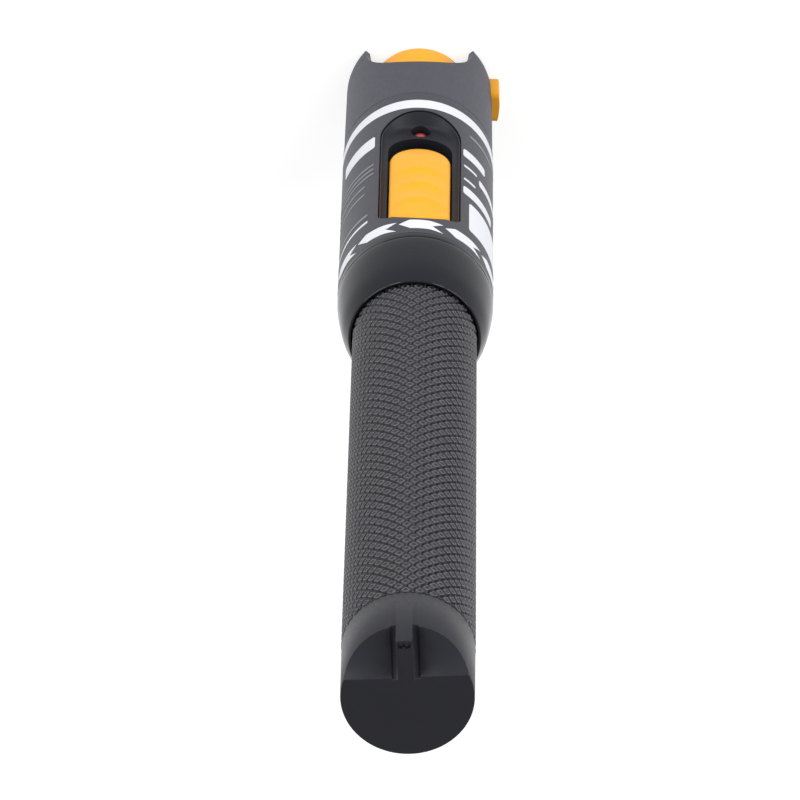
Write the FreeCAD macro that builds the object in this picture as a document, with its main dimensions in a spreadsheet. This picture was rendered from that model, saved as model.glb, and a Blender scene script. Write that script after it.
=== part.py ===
import FreeCAD, Part

import math
import os

import Sketcher

# Visual fault locator: a pen-shaped red-laser tester for fibre connectors.
#
# The tool stands nose down. Z runs along its axis, from 0 at the rim of the nose to the flat
# end of the tail cap. The slide switch faces -Y, and the hinge of the dust cap is at -X.
# Radii are measured from the axis. A size named *_level is a distance from the axis towards
# the switch, so a level of 9.6 is the plane y = -9.6. All sizes are millimetres or degrees.

# The driving sizes: each alias with its value.
SIZES = [
    # stations along the axis
    ("collar_length", 26.2),
    ("head_length", 52.0),
    ("skirt_length", 12.0),
    ("tail_length", 13.7),
    # clearances
    ("press_gap", 0.02),
    ("running_gap", 0.05),
    ("slide_gap", 0.15),
    ("seat_gap", 0.1),
    ("overcut", 2.0),
    # nose collar
    ("collar_radius", 12.7),
    ("nose_bore_radius", 11.2),
    ("nose_bore_depth", 14.0),
    ("bulkhead_thickness", 2.5),
    ("finger_cut_radius", 27.0),
    ("finger_cut_level", 8.2),
    # dust cap and its hinge
    ("cap_radius", 8.5),
    ("cap_front", 0.4),
    ("cap_rear", 6.0),
    ("cap_face_thickness", 3.1),
    ("cap_socket_gap", 0.9),
    ("cap_edge_bevel", 0.6),
    ("hinge_offset", 11.6),
    ("hinge_level", 1.9),
    ("hinge_pin_radius", 0.6),
    ("knuckle_radius", 1.4),
    ("knuckle_width", 2.4),
    ("hinge_arm_thickness", 1.8),
    ("hinge_width", 6.0),
    ("hinge_tab_radius", 14.1),
    ("hinge_tab_front", 0.2),
    ("hinge_tab_length", 5.4),
    ("hinge_tab_corner", 1.2),
    ("hinge_block_length", 3.7),
    ("hinge_block_inset", 1.4),
    ("hinge_pin_recess", 0.4),
    ("hinge_arm_swing", 0.35),
    # optical port
    ("port_tip", 3.6),
    ("port_radius", 3.5),
    ("port_shank_radius", 4.1),
    ("port_shank_end", 23.0),
    ("port_hex_radius", 6.3),
    ("port_hex_height", 3.0),
    ("port_nut_height", 2.6),
    ("ferrule_radius", 1.25),
    ("sleeve_wall", 0.35),
    ("sleeve_length", 10.9),
    ("sleeve_recess", 0.5),
    ("sleeve_slit", 0.4),
    ("aperture_radius", 1.0),
    # laser module
    ("laser_front", 20.0),
    ("laser_rear", 34.0),
    ("laser_radius", 7.0),
    ("laser_bore_radius", 2.85),
    ("laser_thread_depth", 3.5),
    ("lens_thickness", 1.6),
    ("beam_length", 5.8),
    ("diode_flange_thickness", 1.2),
    ("diode_can_radius", 1.8),
    ("diode_can_height", 2.3),
    ("diode_pin_size", 0.45),
    ("diode_pin_circle", 1.0),
    ("diode_pin_length", 5.0),
    # head housing
    ("head_radius", 12.65),
    ("spigot_radius", 11.6),
    ("spigot_length", 9.2),
    ("thread_length", 8.1),
    # switch pocket
    ("deck_level", 9.6),
    ("deck_thickness", 1.4),
    ("deck_front_margin", 3.0),
    ("deck_rear_margin", 1.0),
    ("pocket_half_width", 6.2),
    ("pocket_front", 34.4),
    ("pocket_rear_margin", 6.4),
    ("pocket_corner", 1.5),
    ("pocket_flare_level", 10.2),
    ("pocket_flare_angle", 30.0),
    ("pocket_flare_rear_step", 1.4),
    ("ledge_level", 10.25),
    ("opening_half_width", 5.45),
    ("opening_front", 38.4),
    ("opening_corner", 0.9),
    ("led_hole_radius", 1.7),
    ("led_station", 35.95),
    # slide switch
    ("knob_half_width", 5.11),
    ("knob_travel_room", 4.9),
    ("knob_heel_room", 0.5),
    ("knob_top_level", 12.4),
    ("knob_crown_radius", 30.0),
    ("knob_edge_bevel", 0.5),
    ("knob_heel_radius", 20.0),
    ("knob_ridge_height", 0.35),
    ("knob_ridge_width", 0.9),
    ("knob_ridge_half_length", 3.9),
    ("knob_ridge_sweep", 7.0),
    ("knob_ridge_first", 52.6),
    ("knob_ridge_pitch", 5.6),
    ("carrier_thickness", 1.0),
    ("carrier_half_width", 6.0),
    ("carrier_rear_margin", 3.4),
    ("peg_size", 2.0),
    ("peg_spacing", 8.0),
    ("switch_travel", 4.6),
    ("lever_width", 2.0),
    ("lever_set_back", 15.9),
    ("lever_top_level", 7.6),
    # board and its cradle
    ("board_level", 1.3),
    ("board_thickness", 1.2),
    ("board_half_width", 9.6),
    ("board_front", 35.5),
    ("board_rear_margin", 2.7),
    ("switch_half_width", 3.6),
    ("switch_height", 3.8),
    ("switch_length", 12.6),
    ("switch_slot_depth", 2.2),
    ("chip_length", 4.0),
    ("chip_height", 1.1),
    ("chip_gap", 2.8),
    ("chip_offset", 2.6),
    ("led_radius", 1.5),
    ("led_tip_level", 9.9),
    ("led_base_level", 5.5),
    ("led_tip_bevel", 0.6),
    ("led_lead_size", 0.5),
    ("led_lead_spacing", 2.54),
    ("cradle_radius", 10.0),
    ("cradle_wall", 1.2),
    ("cradle_saddle_length", 6.0),
    ("cradle_rear_gap", 0.1),
    ("crossbar_length", 4.0),
    ("crossbar_depth", 2.6),
    ("crossbar_front_inset", 4.5),
    ("crossbar_rear_inset", 3.5),
    # contacts and cells
    ("insulator_radius", 9.95),
    ("insulator_thickness", 2.5),
    ("contact_radius", 2.6),
    ("contact_height", 1.4),
    ("cell_radius", 7.25),
    ("cell_length", 50.5),
    ("cell_nub_radius", 2.75),
    ("cell_nub_height", 1.0),
    ("tail_spring_room", 7.6),
    # skirt
    ("skirt_radius", 12.85),
    ("skirt_shoulder_radius", 12.05),
    ("skirt_shoulder_length", 7.8),
    ("skirt_rim_radius", 10.86),
    ("skirt_rim_gap", 0.35),
    # handle tube
    ("grip_radius", 10.1),
    ("tube_bore_radius", 7.6),
    ("tube_seat_length", 7.3),
    ("tail_thread_radius", 8.7),
    ("tail_thread_length", 10.3),
    ("tail_thread_relief", 0.5),
    # tail cap
    ("tail_radius", 10.12),
    ("tail_edge_bevel", 0.25),
    ("tail_depth", 11.0),
    ("scoop_radius", 8.5),
    ("scoop_offset", 11.0),
    ("scoop_overshoot", 4.2),
    ("bridge_width", 2.45),
    ("lanyard_hole_radius", 1.0),
    ("lanyard_hole_level", 7.4),
    ("lanyard_hole_depth", 1.95),
    ("bridge_nick_width", 1.3),
    ("bridge_nick_depth", 0.9),
    ("bridge_nick_level", 9.0),
    ("bridge_nick_slope", 0.35),
    ("tail_turn_angle", 6.0),
    # tail spring
    ("spring_wire_size", 0.7),
    ("spring_coil_radius", 4.0),
    ("spring_turns", 3.0),
]

COIL_SIDES = 12  # straight lengths in one turn of the tail spring

doc = FreeCAD.newDocument("VisualFaultLocator")
V = FreeCAD.Vector


class Size:
    """A number kept together with the sheet formula that gives it."""

    def __init__(self, value, formula):
        self.value = float(value)
        self.formula = formula

    def _with(self, other, sign, result, swap=False):
        text = other.formula if isinstance(other, Size) else f"{other:g}"
        left, right = (text, self.formula) if swap else (self.formula, text)
        return Size(result, f"({left} {sign} {right})")

    def __add__(self, other):
        return self._with(other, "+", self.value + number(other))

    def __radd__(self, other):
        return self + other

    def __sub__(self, other):
        return self._with(other, "-", self.value - number(other))

    def __rsub__(self, other):
        return self._with(other, "-", number(other) - self.value, swap=True)

    def __mul__(self, other):
        return self._with(other, "*", self.value * number(other))

    def __rmul__(self, other):
        return self * other

    def __truediv__(self, other):
        return self._with(other, "/", self.value / number(other))

    def __neg__(self):
        return Size(-self.value, f"(-1 * {self.formula})")

    def root(self):
        return Size(math.sqrt(self.value), f"sqrt({self.formula})")


def number(size):
    return size.value if isinstance(size, Size) else float(size)


def bind(item, prop, size):
    """Tie a property to the sheet when its size comes from there."""
    if isinstance(size, Size):
        item.setExpression(prop, size.formula)


def make_sheet():
    sheet = doc.addObject("Spreadsheet::Sheet", "Sizes")
    named = {}
    for row, (alias, value) in enumerate(SIZES, start=1):
        sheet.set(f"A{row}", alias.replace("_", " "))
        sheet.set(f"B{row}", str(value))
        sheet.setAlias(f"B{row}", alias)
        named[alias] = Size(value, f"Sizes.{alias}")
    doc.recompute()
    return named


S = make_sheet()


# ---------------------------------------------------------------- drawing helpers


def place(item, at, turn=None):
    """Put an object at (x, y, z), each a number or a Size."""
    spot = V(*(number(c) for c in at))
    item.Placement = FreeCAD.Placement(spot, turn or FreeCAD.Rotation())
    for axis, coordinate in zip("xyz", at):
        bind(item, f"Placement.Base.{axis}", coordinate)
    return item


ALONG = {
    "z": FreeCAD.Rotation(),
    "-y": FreeCAD.Rotation(V(1, 0, 0), 90),
}


def cylinder(name, radius, height, at=(0, 0, 0), along="z"):
    """A round bar that starts at a point and runs along +Z or -Y."""
    item = doc.addObject("Part::Cylinder", name)
    item.Radius = number(radius)
    item.Height = number(height)
    bind(item, "Radius", radius)
    bind(item, "Height", height)
    return place(item, at, ALONG[along])


def box(name, low, size):
    """A block from its lowest corner and its three sizes."""
    item = doc.addObject("Part::Box", name)
    for prop, side in zip(("Length", "Width", "Height"), size):
        setattr(item, prop, number(side))
        bind(item, prop, side)
    return place(item, low)


def hexagon(name, radius, height, z):
    """A hexagonal nut blank on the axis, radius measured to its corners."""
    item = doc.addObject("Part::Prism", name)
    item.Polygon = 6
    item.Circumradius = number(radius)
    item.Height = number(height)
    bind(item, "Circumradius", radius)
    bind(item, "Height", height)
    return place(item, (0, 0, z))


def cut(name, base, *tools):
    item = doc.addObject("Part::Cut", name)
    item.Base = base
    item.Tool = tools[0] if len(tools) == 1 else fuse(name + "_tools", *tools)
    return item


def fuse(name, *parts):
    item = doc.addObject("Part::MultiFuse", name)
    item.Shapes = list(parts)
    return item


def common(name, first, second):
    item = doc.addObject("Part::Common", name)
    item.Base = first
    item.Tool = second
    return item


def new_body(name):
    return doc.addObject("PartDesign::Body", name)


def origin_plane(body, role):
    return next(f for f in body.Origin.OriginFeatures if f.Role == role)


def new_sketch(body, name, role, offset=0.0):
    """A sketch on one of the body's own origin planes, moved along its normal.

    XZ_Plane looks from the switch side: its normal is -Y, so an offset there is a level.
    """
    sketch = body.newObject("Sketcher::SketchObject", name)
    sketch.AttachmentSupport = (origin_plane(body, role), [""])
    sketch.MapMode = "FlatFace"
    sketch.AttachmentOffset = FreeCAD.Placement(V(0, 0, number(offset)), FreeCAD.Rotation())
    bind(sketch, "AttachmentOffset.Base.z", offset)
    return sketch


def pin(sketch, kind, where, size):
    """Dimension one coordinate or radius, tied to the sheet."""
    index = sketch.addConstraint(Sketcher.Constraint(kind, *where, number(size)))
    bind(sketch, f"Constraints[{index}]", size)


def arc_between(start, end, radius):
    """An arc of the shorter way round; a positive radius turns left from start to end."""
    chord = end - start
    half = chord.Length / 2
    left = V(-chord.y, chord.x, 0) / chord.Length
    reach = math.sqrt(max(radius * radius - half * half, 0.0))
    side = 1 if radius > 0 else -1
    centre = (start + end) / 2 + left * reach * side
    first, last = (start, end) if side > 0 else (end, start)
    a0 = math.atan2(first.y - centre.y, first.x - centre.x)
    a1 = math.atan2(last.y - centre.y, last.x - centre.x)
    if a1 < a0:
        a1 += 2 * math.pi
    return Part.ArcOfCircle(Part.Circle(centre, V(0, 0, 1), abs(radius)), a0, a1)


def draw_outline(sketch, corners):
    """A closed outline. Each corner is (u, v), or (u, v, radius) to bend the side after it."""
    spots = [V(number(c[0]), number(c[1]), 0) for c in corners]
    count = len(corners)
    ends = []
    for i, corner in enumerate(corners):
        start, end = spots[i], spots[(i + 1) % count]
        if len(corner) == 3:
            radius = number(corner[2])
            sketch.addGeometry(arc_between(start, end, radius), False)
            ends.append((1, 2) if radius > 0 else (2, 1))
        else:
            sketch.addGeometry(Part.LineSegment(start, end), False)
            ends.append((1, 2))
    for i in range(count):
        following = (i + 1) % count
        joint = Sketcher.Constraint("Coincident", i, ends[i][1], following, ends[following][0])
        sketch.addConstraint(joint)
    for i, corner in enumerate(corners):
        pin(sketch, "DistanceX", (i, ends[i][0]), corner[0])
        pin(sketch, "DistanceY", (i, ends[i][0]), corner[1])
        if len(corner) == 3:
            radius = corner[2]
            pin(sketch, "Radius", (i,), radius if number(radius) > 0 else -radius)


def draw_circle(sketch, u, v, radius):
    circle = Part.Circle(V(number(u), number(v), 0), V(0, 0, 1), number(radius))
    index = sketch.addGeometry(circle, False)
    pin(sketch, "DistanceX", (index, 3), u)
    pin(sketch, "DistanceY", (index, 3), v)
    pin(sketch, "Radius", (index,), radius)


def turned(name, outline):
    """A body turned about the axis from an outline of (radius, z) corners."""
    body = new_body(name)
    sketch = new_sketch(body, name + "_section", "XZ_Plane")
    draw_outline(sketch, outline)
    turning = body.newObject("PartDesign::Revolution", name + "_turning")
    turning.Profile = sketch
    turning.ReferenceAxis = (sketch, ["V_Axis"])
    turning.Angle = 360
    body.Tip = turning
    doc.recompute()
    return body


def padded(name, role, level, outline, height, flare=None):
    """A body padded from a plane by a height, with an optional outward flare."""
    body = new_body(name)
    sketch = new_sketch(body, name + "_plan", role, level)
    draw_outline(sketch, outline)
    pad = body.newObject("PartDesign::Pad", name + "_pad")
    pad.Profile = sketch
    pad.Length = number(height)
    bind(pad, "Length", height)
    if flare is not None:
        pad.TaperAngle = number(flare)
        bind(pad, "TaperAngle", flare)
    body.Tip = pad
    doc.recompute()
    return body


def pocket(body, sketch, both_ways=False, reverse=False):
    """Cut a sketch right through the body, and make sure that it removed something."""
    before = body.Shape.Volume
    feature = body.newObject("PartDesign::Pocket", sketch.Name + "_cut")
    feature.Profile = sketch
    feature.Type = "ThroughAll"
    feature.SideType = "Symmetric" if both_ways else "One side"
    feature.Reversed = reverse
    body.Tip = feature
    doc.recompute()
    if not body.Shape.Volume < before - 1e-6:
        raise RuntimeError(f"{sketch.Name} cuts nothing")
    return feature


def mirror(body, feature, role):
    copy = body.newObject("PartDesign::Mirrored", feature.Name + "_mirrored")
    copy.Originals = [feature]
    copy.MirrorPlane = (origin_plane(body, role), [""])
    body.Tip = copy
    doc.recompute()
    return copy


def chamfer(name, base, radius, chosen):
    """Bevel the edges of a Part object that the test picks."""
    doc.recompute()
    item = doc.addObject("Part::Chamfer", name)
    item.Base = base
    size = number(radius)
    picked = [i + 1 for i, edge in enumerate(base.Shape.Edges) if chosen(edge)]
    if not picked:
        raise RuntimeError(f"{name} finds no edge")
    item.Edges = [(i, size, size) for i in picked]
    return item


PARTS = []


def keep(label, item):
    """Register a finished sub-part under the name of its file."""
    item.Label = label
    PARTS.append(item)
    return item


# ---------------------------------------------------------------- stations and shared sizes

head_front = S["collar_length"]
skirt_front = head_front + S["head_length"]
grip_front = skirt_front + S["skirt_length"]

bulkhead_rear = S["nose_bore_depth"] + S["bulkhead_thickness"]
spigot_front = head_front - S["spigot_length"]
head_bore = S["grip_radius"] + S["running_gap"]
deck_underside = S["deck_level"] - S["deck_thickness"]
carrier_top = deck_underside - S["slide_gap"]
board_top = S["board_level"] + S["board_thickness"]
thread_end = skirt_front + S["thread_length"]
tube_front = thread_end - S["tube_seat_length"]
insulator_front = tube_front - S["seat_gap"] - S["insulator_thickness"]
contact_face = tube_front - S["seat_gap"] + S["contact_height"]
cells_front = contact_face + S["seat_gap"]
cells_rear = cells_front + 2 * S["cell_length"]
tail_floor = cells_rear + S["tail_spring_room"]
tail_end = tail_floor + S["tail_depth"]
tail_front = tail_end - S["tail_length"]
pocket_rear = skirt_front - S["pocket_rear_margin"]
knob_front = S["opening_front"] + S["knob_travel_room"]
knob_rear = pocket_rear - S["knob_heel_room"]
knob_middle = (knob_front + knob_rear) / 2
carrier_rear = skirt_front - S["carrier_rear_margin"]
lever_rear = knob_front + S["lever_set_back"]
board_rear = skirt_front - S["board_rear_margin"]
switch_slot_front = lever_rear - S["lever_width"] - S["switch_travel"] - 2 * S["slide_gap"]
switch_slot_length = S["lever_width"] + S["switch_travel"] + 4 * S["slide_gap"]
switch_rear = switch_slot_front + (switch_slot_length + S["switch_length"]) / 2
peg_fronts = [knob_middle + side * S["peg_spacing"] - S["peg_size"] / 2 for side in (-1, 1)]
peg_sides = (S["peg_size"], S["carrier_thickness"], S["peg_size"])
switch_top = board_top + S["switch_height"]
lens_front = S["laser_front"] + S["laser_thread_depth"] + S["running_gap"]
diode_front = lens_front + S["lens_thickness"] + S["beam_length"]
bench_radius = S["laser_bore_radius"] - S["running_gap"]


# ---------------------------------------------------------------- nose


def make_nose_collar():
    """Moulded nose: a cup with two finger cut-outs that leave an ear on each side."""
    rear = head_front - S["seat_gap"]
    bore = S["spigot_radius"] + S["running_gap"]
    hole = S["port_shank_radius"] + S["seat_gap"]
    body = turned(
        "nose_collar_body",
        [
            (S["nose_bore_radius"], 0),
            (S["collar_radius"], 0),
            (S["collar_radius"], rear),
            (bore, rear),
            (bore, bulkhead_rear),
            (hole, bulkhead_rear),
            (hole, S["nose_bore_depth"]),
            (S["nose_bore_radius"], S["nose_bore_depth"]),
        ],
    )
    cut_sketch = new_sketch(body, "finger_cut", "YZ_Plane")
    draw_circle(cut_sketch, -(S["finger_cut_level"] + S["finger_cut_radius"]), 0, S["finger_cut_radius"])
    mirror(body, pocket(body, cut_sketch, both_ways=True), "XZ_Plane")
    # the notch in the -X ear that the hinge block clips into
    half = S["hinge_width"] / 2 + S["running_gap"]
    top = S["hinge_tab_front"] + S["hinge_block_length"] + S["running_gap"]
    notch = new_sketch(body, "hinge_notch", "YZ_Plane", S["overcut"] - S["nose_bore_radius"])
    below = -S["overcut"]
    draw_outline(notch, [(-half, below), (half, below), (half, top), (-half, top)])
    pocket(body, notch)
    return keep("nose_collar", body)


def make_cap_hinge():
    """Orange hinge block: a tab outside the ear, clipped through its notch, with two lugs."""
    front = S["hinge_tab_front"]
    rear = front + S["hinge_tab_length"]
    half = S["hinge_width"] / 2
    corner = S["hinge_tab_corner"]
    inner = S["nose_bore_radius"] - S["hinge_block_inset"]
    outer = S["hinge_tab_radius"] + S["overcut"]
    tab = padded(
        "hinge_block",
        "YZ_Plane",
        -outer,
        [
            (-half, front),
            (half, front),
            (half, rear - corner, corner),
            (half - corner, rear),
            (corner - half, rear, corner),
            (-half, rear - corner),
        ],
        outer - inner,
    )
    outside = cylinder("hinge_outside", S["hinge_tab_radius"], rear + S["overcut"])
    rounded = common("hinge_rounded", tab, outside)
    # behind the notch only the tab outside the collar is left
    behind = front + S["hinge_block_length"]
    wall = cylinder(
        "hinge_wall_space",
        S["collar_radius"] + S["running_gap"],
        S["hinge_tab_length"],
        (0, 0, behind),
    )
    gap = S["knuckle_width"] / 2 + S["slide_gap"]
    reach = S["knuckle_radius"] + S["slide_gap"]
    knuckle_space = cylinder(
        "hinge_knuckle_space",
        reach,
        2 * gap,
        (-S["hinge_offset"], gap, S["hinge_level"]),
        "-y",
    )
    arm_space = box(
        "hinge_arm_space",
        (-S["hinge_offset"] - reach - S["hinge_arm_swing"], -gap, 0),
        (2 * reach + S["overcut"], 2 * gap, S["hinge_level"]),
    )
    inner_space = box(
        "hinge_inner_space",
        (-S["hinge_offset"], -gap, 0),
        (reach + S["overcut"], 2 * gap, S["hinge_level"] + reach),
    )
    bore = cylinder(
        "hinge_pin_bore",
        S["hinge_pin_radius"] + S["press_gap"],
        S["hinge_width"] - 2 * S["hinge_pin_recess"],
        (-S["hinge_offset"], half - S["hinge_pin_recess"], S["hinge_level"]),
        "-y",
    )
    block = cut("cap_hinge_block", rounded, wall, knuckle_space, arm_space, inner_space, bore)
    return keep("cap_hinge", block)


def make_hinge_pin():
    length = S["hinge_width"] - 2 * (S["hinge_pin_recess"] + S["running_gap"])
    pin_bar = cylinder(
        "hinge_pin_bar",
        S["hinge_pin_radius"],
        length,
        (-S["hinge_offset"], length / 2, S["hinge_level"]),
        "-y",
    )
    return keep("hinge_pin", pin_bar)


def make_dust_cap():
    """Flip cap: a round bevelled plug with a socket over the port, an arm and a knuckle."""
    front, rear, edge = S["cap_front"], S["cap_rear"], S["cap_edge_bevel"]
    floor = front + S["cap_face_thickness"]
    socket = S["port_radius"] + S["cap_socket_gap"]
    outer = S["cap_radius"]
    plug = turned(
        "cap_plug",
        [
            (0, front),
            (outer - edge, front),
            (outer, front + edge),
            (outer, rear),
            (socket, rear),
            (socket, floor),
            (0, floor),
        ],
    )
    half = S["knuckle_width"] / 2
    arm = box(
        "cap_arm",
        (-S["hinge_offset"], -half, S["hinge_level"] - S["knuckle_radius"]),
        (S["hinge_offset"] - socket - S["overcut"], S["knuckle_width"], S["hinge_arm_thickness"]),
    )
    spot = (-S["hinge_offset"], half, S["hinge_level"])
    knuckle = cylinder("cap_knuckle", S["knuckle_radius"], S["knuckle_width"], spot, "-y")
    bore = cylinder(
        "cap_knuckle_bore",
        S["hinge_pin_radius"] + S["running_gap"],
        S["knuckle_width"],
        spot,
        "-y",
    )
    return keep("dust_cap", cut("dust_cap_whole", fuse("cap_solid", plug, arm, knuckle), bore))


# ---------------------------------------------------------------- optical port and laser


def make_port_barrel():
    """Plated connector port: ferrule tube in front, hexagon on the bulkhead, threaded shank."""
    sleeve_bore = S["ferrule_radius"] + S["sleeve_wall"] + S["running_gap"]
    stop = S["port_tip"] + S["sleeve_recess"] + S["sleeve_length"] + S["seat_gap"]
    hex_front = S["nose_bore_depth"] - S["port_hex_height"]
    barrel = turned(
        "port_turning",
        [
            (sleeve_bore, S["port_tip"]),
            (S["port_radius"], S["port_tip"]),
            (S["port_radius"], hex_front),
            (S["port_shank_radius"], hex_front),
            (S["port_shank_radius"], S["port_shank_end"]),
            (S["aperture_radius"], S["port_shank_end"]),
            (S["aperture_radius"], stop),
            (sleeve_bore, stop),
        ],
    )
    blank = hexagon("port_hexagon_blank", S["port_hex_radius"], S["port_hex_height"], hex_front)
    bore = cylinder("port_hexagon_bore", S["port_radius"], S["port_hex_height"], (0, 0, hex_front))
    ring = cut("port_hexagon", blank, bore)
    return keep("port_barrel", fuse("port_whole", barrel, ring))


def make_port_nut():
    """Thin hexagon nut behind the bulkhead."""
    blank = hexagon("port_nut_blank", S["port_hex_radius"], S["port_nut_height"], bulkhead_rear)
    bore = cylinder(
        "port_nut_bore",
        S["port_shank_radius"] + S["running_gap"],
        S["port_nut_height"],
        (0, 0, bulkhead_rear),
    )
    return keep("port_nut", cut("port_nut_whole", blank, bore))


def make_ceramic_sleeve():
    """Split zirconia sleeve that grips the ferrule."""
    front = S["port_tip"] + S["sleeve_recess"]
    outer = S["ferrule_radius"] + S["sleeve_wall"]
    rod = cylinder("sleeve_rod", outer, S["sleeve_length"], (0, 0, front))
    bore = cylinder("sleeve_bore", S["ferrule_radius"], S["sleeve_length"], (0, 0, front))
    slit = box(
        "sleeve_split",
        (-S["sleeve_slit"] / 2, 0, front),
        (S["sleeve_slit"], outer + S["overcut"], S["sleeve_length"]),
    )
    return keep("ceramic_sleeve", cut("sleeve_whole", rod, bore, slit))


def make_laser_housing():
    """Brass barrel screwed on the port's shank, bored for the lens and the diode."""
    thread = S["port_shank_radius"] + S["running_gap"]
    thread_stop = S["laser_front"] + S["laser_thread_depth"]
    outline = [
        (thread, S["laser_front"]),
        (S["laser_radius"], S["laser_front"]),
        (S["laser_radius"], S["laser_rear"]),
        (S["laser_bore_radius"], S["laser_rear"]),
        (S["laser_bore_radius"], thread_stop),
        (thread, thread_stop),
    ]
    return keep("laser_housing", turned("laser_barrel", outline))


def make_focus_lens():
    """Glass window that passes the beam on to the fibre."""
    disc = cylinder("lens_disc", bench_radius, S["lens_thickness"], (0, 0, lens_front))
    return keep("focus_lens", disc)


def make_laser_diode():
    """Diode can on its flange, with three pins that run under the board."""
    flange = cylinder("diode_flange", bench_radius, S["diode_flange_thickness"], (0, 0, diode_front))
    can = cylinder(
        "diode_can",
        S["diode_can_radius"],
        S["diode_can_height"] + S["diode_flange_thickness"],
        (0, 0, diode_front - S["diode_can_height"]),
    )
    circle, side = S["diode_pin_circle"], S["diode_pin_size"]
    pins = [
        box(
            f"diode_pin_{i}",
            (x * circle - side / 2, y * circle - side / 2, diode_front + S["diode_flange_thickness"] / 2),
            (side, side, S["diode_pin_length"]),
        )
        for i, (x, y) in enumerate([(1, 0), (-1, 0), (0, -1)])
    ]
    return keep("laser_diode", fuse("diode_whole", flange, can, *pins))


# ---------------------------------------------------------------- head


def slot_plan(half, front, rear, corner=None):
    """Plan of the switch pocket: round towards the nose, square or rounded at the rear."""
    start = front + half
    if corner is None:
        tail = [(half, rear), (-half, rear)]
    else:
        tail = [
            (half, rear - corner, corner),
            (half - corner, rear),
            (corner - half, rear, corner),
            (-half, rear - corner),
        ]
    return [(-half, start, half), (0, front, half), (half, start)] + tail


def make_thumb_pocket():
    """The space of the thumb pocket: a well with upright sides that flares near the surface."""
    half, front, rear = S["pocket_half_width"], S["pocket_front"], pocket_rear
    outside = S["head_radius"] + S["overcut"] / 4
    well = padded(
        "pocket_well",
        "XZ_Plane",
        S["deck_level"],
        slot_plan(half, front, rear, S["pocket_corner"]),
        outside - S["deck_level"],
    )
    flare = padded(
        "pocket_flare",
        "XZ_Plane",
        S["pocket_flare_level"],
        slot_plan(half, front, rear - S["pocket_flare_rear_step"], S["pocket_corner"]),
        outside - S["pocket_flare_level"],
        S["pocket_flare_angle"],
    )
    return fuse("thumb_pocket", well, flare)


def make_head_housing():
    """Moulded head: spigot for the nose, switch deck, thumb pocket with a ledge, flowing skirt."""
    shoulder = skirt_front + S["skirt_shoulder_length"]
    rim_bore = S["grip_radius"] + S["skirt_rim_gap"]
    shell = turned(
        "head_shell",
        [
            (head_bore, spigot_front),
            (S["spigot_radius"], spigot_front),
            (S["spigot_radius"], head_front),
            (S["head_radius"], head_front),
            (S["head_radius"], skirt_front),
            (S["skirt_radius"], skirt_front),
            (S["skirt_shoulder_radius"], shoulder),
            (S["skirt_rim_radius"], grip_front),
            (rim_bore, grip_front),
            (rim_bore, thread_end),
            (head_bore, thread_end),
        ],
    )
    deck_front = S["pocket_front"] - S["deck_front_margin"]
    deck_rear = carrier_rear + S["deck_rear_margin"]
    mid_wall = (head_bore + S["head_radius"]) / 2
    deck_block = box(
        "deck_block",
        (-head_bore, -S["head_radius"], deck_front),
        (2 * head_bore, S["head_radius"] - deck_underside, deck_rear - deck_front),
    )
    deck_round = cylinder("deck_round", mid_wall, deck_rear - deck_front, (0, 0, deck_front))
    deck = common("switch_deck", deck_block, deck_round)
    # the ledge is what the pocket leaves standing at its round front end, round the lamp
    ledge = box(
        "lamp_ledge",
        (-head_bore, -S["ledge_level"], deck_front),
        (2 * head_bore, S["ledge_level"] - deck_underside, S["opening_front"] - deck_front),
    )
    hollow = cut("pocket_hollow", make_thumb_pocket(), ledge)
    below_deck = deck_underside - S["overcut"]
    opening = padded(
        "knob_opening",
        "XZ_Plane",
        below_deck,
        slot_plan(S["opening_half_width"], S["opening_front"], pocket_rear, S["opening_corner"]),
        S["deck_thickness"] + 2 * S["overcut"],
    )
    led_hole = cylinder(
        "led_hole",
        S["led_hole_radius"],
        S["head_radius"] - below_deck,
        (0, -below_deck, S["led_station"]),
        "-y",
    )
    solid = fuse("head_solid", shell, deck)
    return keep("head_housing", cut("head_whole", solid, hollow, opening, led_hole))


# ---------------------------------------------------------------- slide switch


def make_knob_ridge(index, station):
    """Curved rib across the knob, its middle nearest the nose."""
    outer, width = S["knob_ridge_sweep"], S["knob_ridge_width"]
    inner = outer - width
    half = S["knob_ridge_half_length"]
    outer_end = station + outer - (outer * outer - half * half).root()
    inner_end = station + outer - (inner * inner - half * half).root()
    return padded(
        f"knob_ridge_{index}",
        "XZ_Plane",
        S["deck_level"],
        [
            (-half, outer_end, outer),
            (half, outer_end),
            (half, inner_end, -inner),
            (-half, inner_end),
        ],
        S["knob_top_level"] + S["knob_ridge_height"] - S["deck_level"],
    )


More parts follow.
